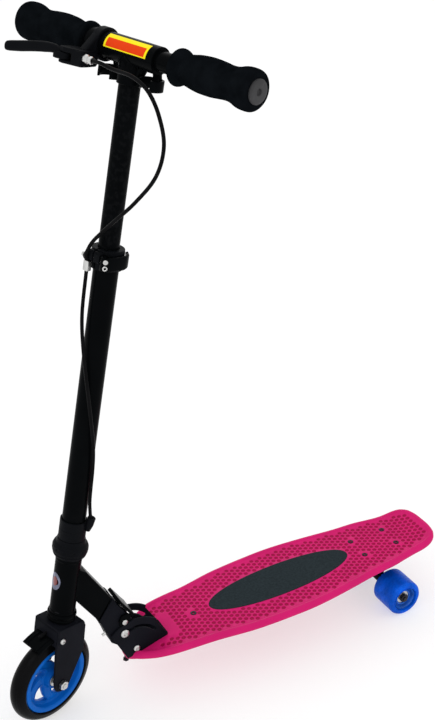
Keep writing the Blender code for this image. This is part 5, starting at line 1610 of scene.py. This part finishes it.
@dataclass
class BrakeCable:
    """The brake's cable, from its adjuster over the bar, down the column and through the steerer to the shoe."""

    axle_s: float
    radius: float = 2.5

    def route(self) -> Array:
        """Gives the cable's route in the steering frame, the same points as the frame's own cable.

        Returns:
            The points that the cable's middle passes.
        """
        crown = self.axle_s + 100.0
        points = [(40, -27.5, 976), (42, -12, 977), (43, 12, 975), (48, 50, 975), (50, 80, 965), (44, 97, 940),
                  (36, 104, 905), (34, 96, 866), (32, 66, 825), (31, 31, 788), (29.5, 2, 757), (29.8, -7, 741),
                  (29.2, -9.4, 733), (25.9, -9, 722), (25.9, -9, 710), (25, -8, 650), (23, 1, 600), (18.5, 16, 540),
                  (8, 23.5, 480), (1, 22.3, 452), (-3, 21, 425), (-4.5, 20.6, 400), (-6, 20.6, 375), (-9.2, 21, 356),
                  (-12, 21.5, 343), (-10, 18, 331), (-6, 11, 318), (-2.5, 4.5, 304), (0, 0, 288), (0, 0, 250),
                  (0, 0, crown + 32), (1, 0, crown + 14), (4.5, 0, crown), (16.9, 0, self.axle_s + 88.4)]
        shoe = [(f, 0, s) for f, s in arc((6.9, self.axle_s), 86.5, 76.0, 68.0, 1)]
        return np.array(points + shoe, float)

    def build(self) -> None:
        """Builds the cable, leaves it without a body and bakes its placing into its points."""
        line = smooth_line(self.route(), 380)
        shell = Shell("brake_hose", STEER).tube(line, self.radius, 16)
        obj = shell.build(JACKET, "", "brake_cable", slot="cable_jacket")
        STEER.row(np.array([31.5, 2, 950.0])).tolist()
        STEER.row(np.array([31.5, 2, 726.0])).tolist()
        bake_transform(obj)
        row = STEER.row(line)


@dataclass
class Grip:
    """One pull-out grip: its tube, its foam, its end plug and its snap button."""

    name: str
    sign: float
    edge: float
    tee_s: float = 991.6
    start: float = 76.0
    end: float = 205.0
    swell: float = 0.09

    def foam(self) -> Shell:
        """Makes the foam: a soft profile turned round the bar, with a faint swell at angle a and height h of
        swell (sin(3a + 0.11h) sin(0.21h + 1) + sin(5a - 0.07h)).

        Returns:
            The foam's shell.
        """
        s, e = self.start, self.end
        rows = np.array([(12.9, s), (17.0, s), (21.2, s + 0.4), (22.6, s + 2.6), (22.4, s + 5.4), (20.4, s + 9.0),
                         (18.4, s + 12.5), (18.3, s + 16.0), (19.6, s + 24.0), (21.4, s + 34.0), (22.3, s + 46.0),
                         (22.3, s + 58.0), (21.4, s + 70.0), (20.4, s + 80.0), (20.5, s + 89.0), (22.0, s + 96.5),
                         (24.0, s + 103.0), (24.9, s + 109.0), (24.9, e - 13.0), (24.2, e - 9.2), (22.4, e - 6.6),
                         (19.0, e - 6.0), (12.9, e - 6.0)])
        soft = np.vstack([rows[:1], smooth_line(rows[1:-1], 150), rows[-1:]])
        angle = circle(112)
        h = soft[:, 1:]
        swell = self.swell * (np.sin(3 * angle + 0.11 * h) * np.sin(0.21 * h + 1.0) + np.sin(5 * angle - 0.07 * h))
        r = soft[:, :1] + np.where(soft[:, :1] > 15.0, swell, 0.0)
        grid = np.stack([r * np.sin(angle), self.sign * h + 0 * r, self.tee_s + r * np.cos(angle)], axis=-1)
        return Shell("foam_grip_" + self.name, STEER).grid(grid, True, True)

    def build(self) -> None:
        """Builds the grip."""
        body = "grip_" + self.name
        axis = (0, self.sign, 0)
        mid = (0.0, 0.0, self.tee_s)
        foam = self.foam().build(FOAM, body, "grip_foam_" + self.name, slot="foam", angle=60.0)
        rows = [(10.6, 8.0), (12.2, 8.0), (12.6, 8.4), (12.6, 199.0), (10.6, 199.0)]
        Shell("pull_tube_" + self.name, STEER).turned(mid, axis, rows, 72, True).build(
            PAINT, body, "grip_tube_" + self.name, slot="black_alloy")
        e = self.end - 4.0
        cap = [(0, e - 1.2), (3.4, e - 1.2), (3.8, e - 0.4), (4.4, e + 1.7), (6.0, e + 2.0), (12.4, e + 2.0),
               (14.2, e + 1.5), (15, e + 0.4), (15, e - 1.7), (10.2, e - 1.7), (10.2, e - 16), (0, e - 16)]
        Shell("end_plug_" + self.name, STEER).turned(mid, axis, cap, 72, radius=0.35).build(
            PLUG, body, "grip_plug_" + self.name, slot="black_plastic")
        dome = [(0, 18.6), (1.0, 18.45), (2.0, 17.9), (2.7, 17.0), (3.0, 16.0), (3.0, 9.0), (4.2, 9.0), (4.2, 7.6),
                (0, 7.6)]
        spot = (0.0, self.sign * (self.edge - 8.0), self.tee_s)
        Shell("spring_button_" + self.name, STEER).turned(spot, (-1, 0, 0), dome, 36).build(
            ZINC, "button_" + self.name, "snap_button_" + self.name, slot="zinc_steel")


@dataclass
class Handlebar:
    """The telescoping bar: upper tube, T-piece with its label and clips, brake lever and both grips."""

    tee_s: float = 991.6
    tee_r: float = 17.0
    left: float = 47.0
    right: float = 72.0
    pivot: tuple = (45.0, -72.0)
    label_half: float = 36.5
    label_turn: tuple = (2.0, 66.0)

    def tee(self) -> Shell:
        """Makes the T-piece: a sleeve across, a socket down, two gussets, a weld and the grips' clips.

        Returns:
            The shell of the T-piece.
        """
        shell = Shell("tee_piece", STEER)
        r, s = self.tee_r, self.tee_s
        rows = [(12.9, -self.right), (r - 0.6, -self.right), (r, 0.6 - self.right), (r, self.left - 0.6),
                (r - 0.6, self.left), (12.9, self.left)]
        shell.turned((0, 0, s), ACROSS, rows, 96, True)
        rows = [(14.3, 954.0), (r - 0.5, 954.0), (r, 954.5), (r, s - 4.0), (14.3, s - 13.5)]
        shell.turned((0, 0, 0), RISE, rows, 96, True)
        gusset = [(-27, s - 8), (27, s - 8), (15, s - 31), (-15, s - 31)]
        shell.plate(rounded(gusset, 3.0), -7.0, 7.0, Lay.FRONT, 2.0)
        angle = circle(140)
        x = r * np.cos(angle)
        drop = np.sqrt(np.maximum(r * r - x ** 2, 0.0)) * 0.985 + 0.6
        shell.bead(np.stack([x, r * np.sin(angle), s - drop], axis=1), 1.1)
        for y0 in (35.0, -35.0):
            hook = np.vstack([arc((0, y0), 16.5, 40, 320, 40), arc((0, y0), 13.3, 320, 40, 40)]).tolist()
            shell.plate(rounded(hook, 0.3, True, 3), 954.0, 968.0, Lay.TOP, 0.8)
            stem = [(-15.8, 956.0), (-11.0, 956.0), (-6.0, s - 15.5), (-11.0, s - 14.0)]
            shell.plate(rounded(stem, 1.0), y0 - 6.0, y0 + 6.0, Lay.SIDE, 0.8)
        return shell

    def label(self) -> Shell:
        """Makes the label: a thin sheet bent round the sleeve, with its two surface coordinates from 0 to 1.

        Returns:
            The label's shell.
        """
        u, v = np.meshgrid(np.linspace(0, 1, 50), np.linspace(0, 1, 28), indexing="ij")
        around = np.radians(self.label_turn[0] + self.label_turn[1] * v)
        lay = np.stack([u, v], axis=-1)
        y = self.label_half * (2 * u - 1)
        layers = [np.stack([r * np.cos(around), y, self.tee_s + r * np.sin(around)], axis=-1)
                  for r in (self.tee_r + 0.05, self.tee_r + 0.2)]
        shell = Shell("bar_label", STEER)
        for layer in layers:
            shell.grid(layer, lay=lay)
        for pick in (np.s_[0, :], np.s_[-1, :], np.s_[:, 0], np.s_[:, -1]):
            shell.grid(np.stack([layers[0][pick], layers[1][pick]]), lay=np.stack([lay[pick], lay[pick]]))
        return shell

    def perch(self) -> Shell:
        """Makes the lever's perch: a clamp ring, a forked arm out to the pivot and a cable boss.

        Returns:
            The perch's shell.
        """
        px, py = self.pivot
        y, s = -52.0, self.tee_s
        shell = Shell("brake_perch", STEER)
        shell.turned((0, y, s), ACROSS, [(17.3, -6), (21, -6), (21, 6), (17.3, 6)], 72, True, radius=0.9)
        arm = rounded([(14, y + 6), (14, y - 6), (px - 14, py - 7), (px + 5, py - 7), (px + 6.5, py + 2),
                       (px - 1, y + 9), (px - 12, y + 9)], 4.0)
        shell.plate(arm, 977.8, 984.5, Lay.TOP, 2.0)
        shell.plate(arm, 964.4, 968.2, Lay.TOP, 1.4)
        root = rounded([(13.4, y + 5.9), (13.4, y - 5.9), (px - 17, py - 5), (px - 7.8, py - 6), (px - 7.8, py + 5),
                        (px - 3.5, py + 8.5), (px + 3, y - 6), (px + 1, y + 8.6), (px - 12, y + 8.8)], 1.8)
        shell.plate(root, 965.4, 983.4, Lay.TOP, 2.0)
        slope = [(10.5, 1005.0), (15.0, 1006.0), (px - 9, 985.0), (px - 9, 978.0), (14.0, 978.0)]
        shell.plate(rounded(slope, 2.0), y - 6.2, y + 5.6, Lay.SIDE, 2.0)
        boss = [(3.3, -4), (6.4, -4), (6.4, 8.7), (5.8, 9.2), (3.3, 9.2)]
        shell.turned((40, y, 976), ACROSS, boss, 48, True, radius=0.4)
        pin = [(0, -9.5), (2.6, -9.5), (2.6, -8.2), (2.3, -8), (2.3, 8.2), (3.6, 8.4), (3.6, 9.6), (2.8, 10.2),
               (0, 10.2)]
        shell.turned((px, py, 974), RISE, pin, 36)
        shell.plate(rounded([(20, -50), (26, -50), (31, -61), (27, -63)], 1.5), 984.2, 985.3, Lay.TOP, 0.5)
        return shell

    def lever(self) -> Shell:
        """Makes the brake lever: an oval section carried along a bent line from the pivot to a rounded tip, joined to a
        flat boss at the pivot.

        Returns:
            The lever's shell.
        """
        px, py = self.pivot
        line = smooth_line([(px + 1.0, py - 4, 975), (px + 3.5, py - 15, 978.5), (px + 8.0, py - 30, 977.6),
                            (px + 13.0, py - 46, 975.0), (px + 17.5, py - 61, 972.0), (px + 21.5, py - 74, 969.6),
                            (px + 24.5, py - 85, 967.8)], 90)
        t = np.linspace(0, 1, len(line))
        wide = np.interp(t, (0, 0.1, 0.3, 0.8, 0.92, 1.0), (5.6, 5.0, 4.6, 4.6, 4.4, 3.8))
        tall = np.interp(t, (0, 0.1, 0.3, 0.7, 0.9, 1.0), (4.4, 5.4, 6.6, 7.0, 6.6, 5.6))
        tip = 0.955
        end = np.sqrt(np.clip(1 - ((t - tip) / (1 - tip)) ** 2, 0.0, 1.0))
        end = np.where(t > tip, np.maximum(end, 0.02), 1.0)
        angle = circle(40)
        ahead = np.gradient(line, axis=0)
        ahead /= np.linalg.norm(ahead, axis=1)[:, None]
        c, s = (np.sign(v) * np.abs(v) ** 0.8 for v in (np.cos(angle), np.sin(angle)))
        grid = (line[:, None] + (wide * end)[:, None, None] * c[None, :, None] * np.cross(ahead, RISE)[:, None]
                + (tall * end)[:, None, None] * s[None, :, None] * np.array(RISE))
        shell = Shell("brake_hand_lever", STEER).grid(capped(grid, line), False, True)
        boss = np.vstack([arc((px, py), 6.4, 90, 250, 24),
                          [(px + 1.0, py - 13.0), (px + 8.0, py - 13.0), (px + 9.0, py - 7.0), (px + 7.0, py + 1.0)]])
        return shell.plate(boss, 968.6, 977.4, Lay.TOP, 1.2, (hole((px, py), 2.6, 24),))

    def build(self) -> None:
        """Builds the bar and everything on it."""
        rows = [(12.0, 650.0), (14.0, 650.0), (14.0, 975.0), (12.0, 975.0)]
        Shell("column_upper", STEER).turned((0, 0, 0), RISE, rows, 96, True).build(
            PAINT, "handlebar", "upper_tube", slot="black_alloy")
        self.tee().build(PAINT, "handlebar", "tee_bar", slot="black_alloy")
        self.label().build(LABEL, "handlebar")
        self.perch().build(PLASTIC, "handlebar", "lever_perch", slot="black_plastic")
        self.lever().build(PLASTIC, "brake", "brake_lever", slot="black_paint", angle=50.0)
        rows = [(2.8, -27.8), (3.9, -27.8), (4.4, -28.4), (4.4, -32.2), (4.0, -32.8), (3.6, -33.4), (3.6, -35.2),
                (4.6, -36.0), (5.0, -36.4), (5.0, -40.0), (4.6, -40.4), (4.2, -41.0), (4.2, -42.7), (2.8, -42.7)]
        Shell("barrel_adjuster", STEER).turned((40, 0, 976), ACROSS, rows, 54, True, hexed=(2, 3, 8, 9)).build(
            ZINC, "handlebar", "cable_adjuster", slot="zinc_steel")
        Grip("left", 1.0, self.left).build()
        Grip("right", -1.0, self.right).build()


@dataclass
class Truck:
    """The truck under the tail: kingpin, axle and two wheels; plate, hanger and bushings keep the frame's shape."""

    axle_x: float = -597.0
    radius: float = 30.5
    ground_gap: float = 0.12
    half: float = 25.5
    reach: float = 55.4
    core: float = 20.0

    def wheel(self, name: str, sign: float) -> None:
        """Makes one wheel: the cast tyre with soft shoulders, its dished face, its core and its bearing.

        Args:
            name: Which side.
            sign: Which way its outer face looks.
        """
        where, axis = (self.axle_x, sign * self.reach, self.radius), (0, sign, 0)
        r, w, c = self.radius - self.ground_gap, self.half, self.core
        body = "rear_wheel_" + name
        tread = mirrored([(c + 0.6, w - 3.4), (c + 1.6, w - 1.0), (c + 3.2, w), (r - 6.0, w), (r - 2.6, w - 1.0),
                          (r - 0.7, w - 3.6), (r, w - 7.5)])
        rows = smooth_line(np.array(tread), 90, True)
        Shell("cast_tyre_" + name, SCOOTER).turned(where, axis, rows.tolist(), 120, True).build(
            WHEEL, body, "rear_tyre_" + name, slot="blue_wheel", angle=50.0)
        core = [(7.0, 9.7), (11.3, 9.7), (11.3, 18.5), (13.8, 18.5), (14.6, 16.0), (17.2, 14.6), (18.2, 20.0),
                (c, w - 2.8), (c, 2.8 - w), (17.5, 2.8 - w), (17.0, -12.0), (13.8, 1.0 - w), (5.2, 1.0 - w),
                (5.2, -10.0), (7.0, -8.0)]
        Shell("wheel_core_" + name, SCOOTER).turned(where, axis, core, 96, True, radius=0.5).build(
            LENS, body, "rear_core_" + name, slot="core_plastic")
        Bearing("rear", name, SCOOTER, where, axis, 10.0, 17.0).build(body, "rear_bearing_" + name)

    def build(self) -> None:
        """Builds the wheels, the axle and the kingpin."""
        for name, sign in SIDES:
            self.wheel(name, sign)
        Axle("truck_axle", SCOOTER, (self.axle_x, 0, self.radius), 72.7, 4.0, 6.4, 6.5).shell().build(
            OXIDE, "truck", "rear_axle", slot="zinc_steel")
        top, low = 91.9, 51.4
        rows = [(0, top), (4, top), (4, low), (9.5, low), (9.5, low - 1.5), (6.1, low - 1.5), (6.5, low - 2.0),
                (6.5, low - 6.6), (6.1, low - 7), (4, low - 7), (3.6, low - 9), (0, low - 9)]
        Shell("truck_kingpin", SCOOTER).turned((-570, 0, 0), RISE, rows, 54, hexed=(6, 7)).build(
            ZINC, "deck_body", "kingpin", slot="zinc_steel")


@dataclass
class Studio:
    """A pale floor, a white backdrop, soft lamps and the camera at the photograph's angle."""

    spot: Point = (0.7720, 1.3711, 1.3438)
    yaw: float = -2.0703
    pitch: float = 0.4832
    roll: float = -0.0141
    lens: float = 62.185
    sensor: float = 36.0
    shift: tuple = (1.5 / 720, -0.3 / 720)
    sees: tuple = (0.05, 60.0)
    aim: Point = (0.0, 0.0, 0.4)

    def camera(self) -> None:
        """Places the camera: it looks along (cos yaw cos pitch, sin yaw cos pitch, -sin pitch), rolled a little."""
        ahead = Vector((math.cos(self.yaw) * math.cos(self.pitch), math.sin(self.yaw) * math.cos(self.pitch),
                        -math.sin(self.pitch)))
        right = ahead.cross(Vector((0, 0, 1))).normalized()
        over = right.cross(ahead)
        c, s = math.cos(self.roll), math.sin(self.roll)
        turned = (c * right + s * over, -s * right + c * over, -ahead)
        data = bpy.data.cameras.new("photo_camera")
        data.lens, data.sensor_width = self.lens, self.sensor
        data.shift_x, data.shift_y = self.shift
        data.clip_start, data.clip_end = self.sees
        obj = bpy.data.objects.new("photo_camera", data)
        obj.matrix_world = Matrix.Translation(self.spot) @ Matrix(turned).transposed().to_4x4()
        bpy.context.scene.collection.objects.link(obj)
        bpy.context.scene.camera = obj

    def floor(self) -> None:
        """Lays a large pale floor that keeps the shadow and shows white to the camera."""
        mesh = bpy.data.meshes.new("studio_floor")
        mesh.from_pydata([(-12, -12, 0), (12, -12, 0), (12, 12, 0), (-12, 12, 0)], [], [(0, 1, 2, 3)])
        obj = bpy.data.objects.new("studio_floor", mesh)
        bpy.context.scene.collection.objects.link(obj)
        made = bpy.data.materials.new("studio_floor")
        made.use_nodes = True
        Graph(made.node_tree).fill(made.node_tree.nodes["Principled BSDF"], {
            "Base Color": (0.5, 0.5, 0.5, 1.0), "Emission Color": WHITE, "Emission Strength": 0.5,
            "Roughness": 0.9, "Specular IOR Level": 0.1})
        mesh.materials.append(made)

    def world(self) -> None:
        """Makes the world: plain white all round, which lights the object softly and is the backdrop."""
        world = bpy.data.worlds.new("studio_world")
        bpy.context.scene.world = world
        world.use_nodes = True
        graph = Graph(world.node_tree)
        graph.tree.nodes.clear()
        white = graph.node("Background", {"Color": WHITE, "Strength": 1.0})
        graph.node("OutputWorld", {"Surface": white.outputs["Background"]})

    def lamp(self, name: str, spot: Point, size: float, power: float) -> None:
        """Hangs a square soft lamp that looks at the object's middle.

        Args:
            name: Name of the lamp.
            spot: Its place.
            size: Side of the lamp.
            power: Its power in watts.
        """
        data = bpy.data.lights.new(name, "AREA")
        data.shape, data.size, data.energy = "SQUARE", size, power
        obj = bpy.data.objects.new(name, data)
        aim = (Vector(self.aim) - Vector(spot)).normalized()
        obj.matrix_world = Matrix.Translation(spot) @ aim.to_track_quat("-Z", "Y").to_matrix().to_4x4()
        bpy.context.scene.collection.objects.link(obj)

    def build(self) -> None:
        """Builds the studio."""
        bpy.context.scene.view_settings.view_transform = "Standard"
        self.camera()
        self.floor()
        self.world()
        self.lamp("key_lamp", (1.6, 2.2, 3.0), 1.6, 12.0)
        self.lamp("fill_lamp", (-2.6, 2.0, 2.2), 2.0, 6.0)
        self.lamp("back_lamp", (-1.0, -2.6, 2.6), 1.8, 6.0)


def dress(frame: dict) -> None:
    """Gives the frame's own nodes that still show their finishes.
    """
    for name, finish in (("truck_baseplate", SATIN), ("truck_hanger", SATIN), ("bushing_top", RUBBER),
                         ("bushing_bottom", RUBBER)):
        node = frame["nodes"][name]
        for place in node.material_slots:
            place.material = finish.material()
        LOG.info("%s dressed", name)


def main() -> None:
    """Builds the studio and every sub-assembly in order."""
    logging.basicConfig(level=logging.INFO, format="%(name)s %(message)s")
    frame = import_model()
    Studio().build()
    steering = Steering()
    BrakeCable(steering.axle_s).build()
    steering.build()
    deck = Deck()
    deck.build()
    bracket = Bracket()
    bracket.build(deck)
    Neck().build(bracket)
    Handlebar().build()
    Truck().build()
    dress(frame)


if __name__ == "__main__":
    main()
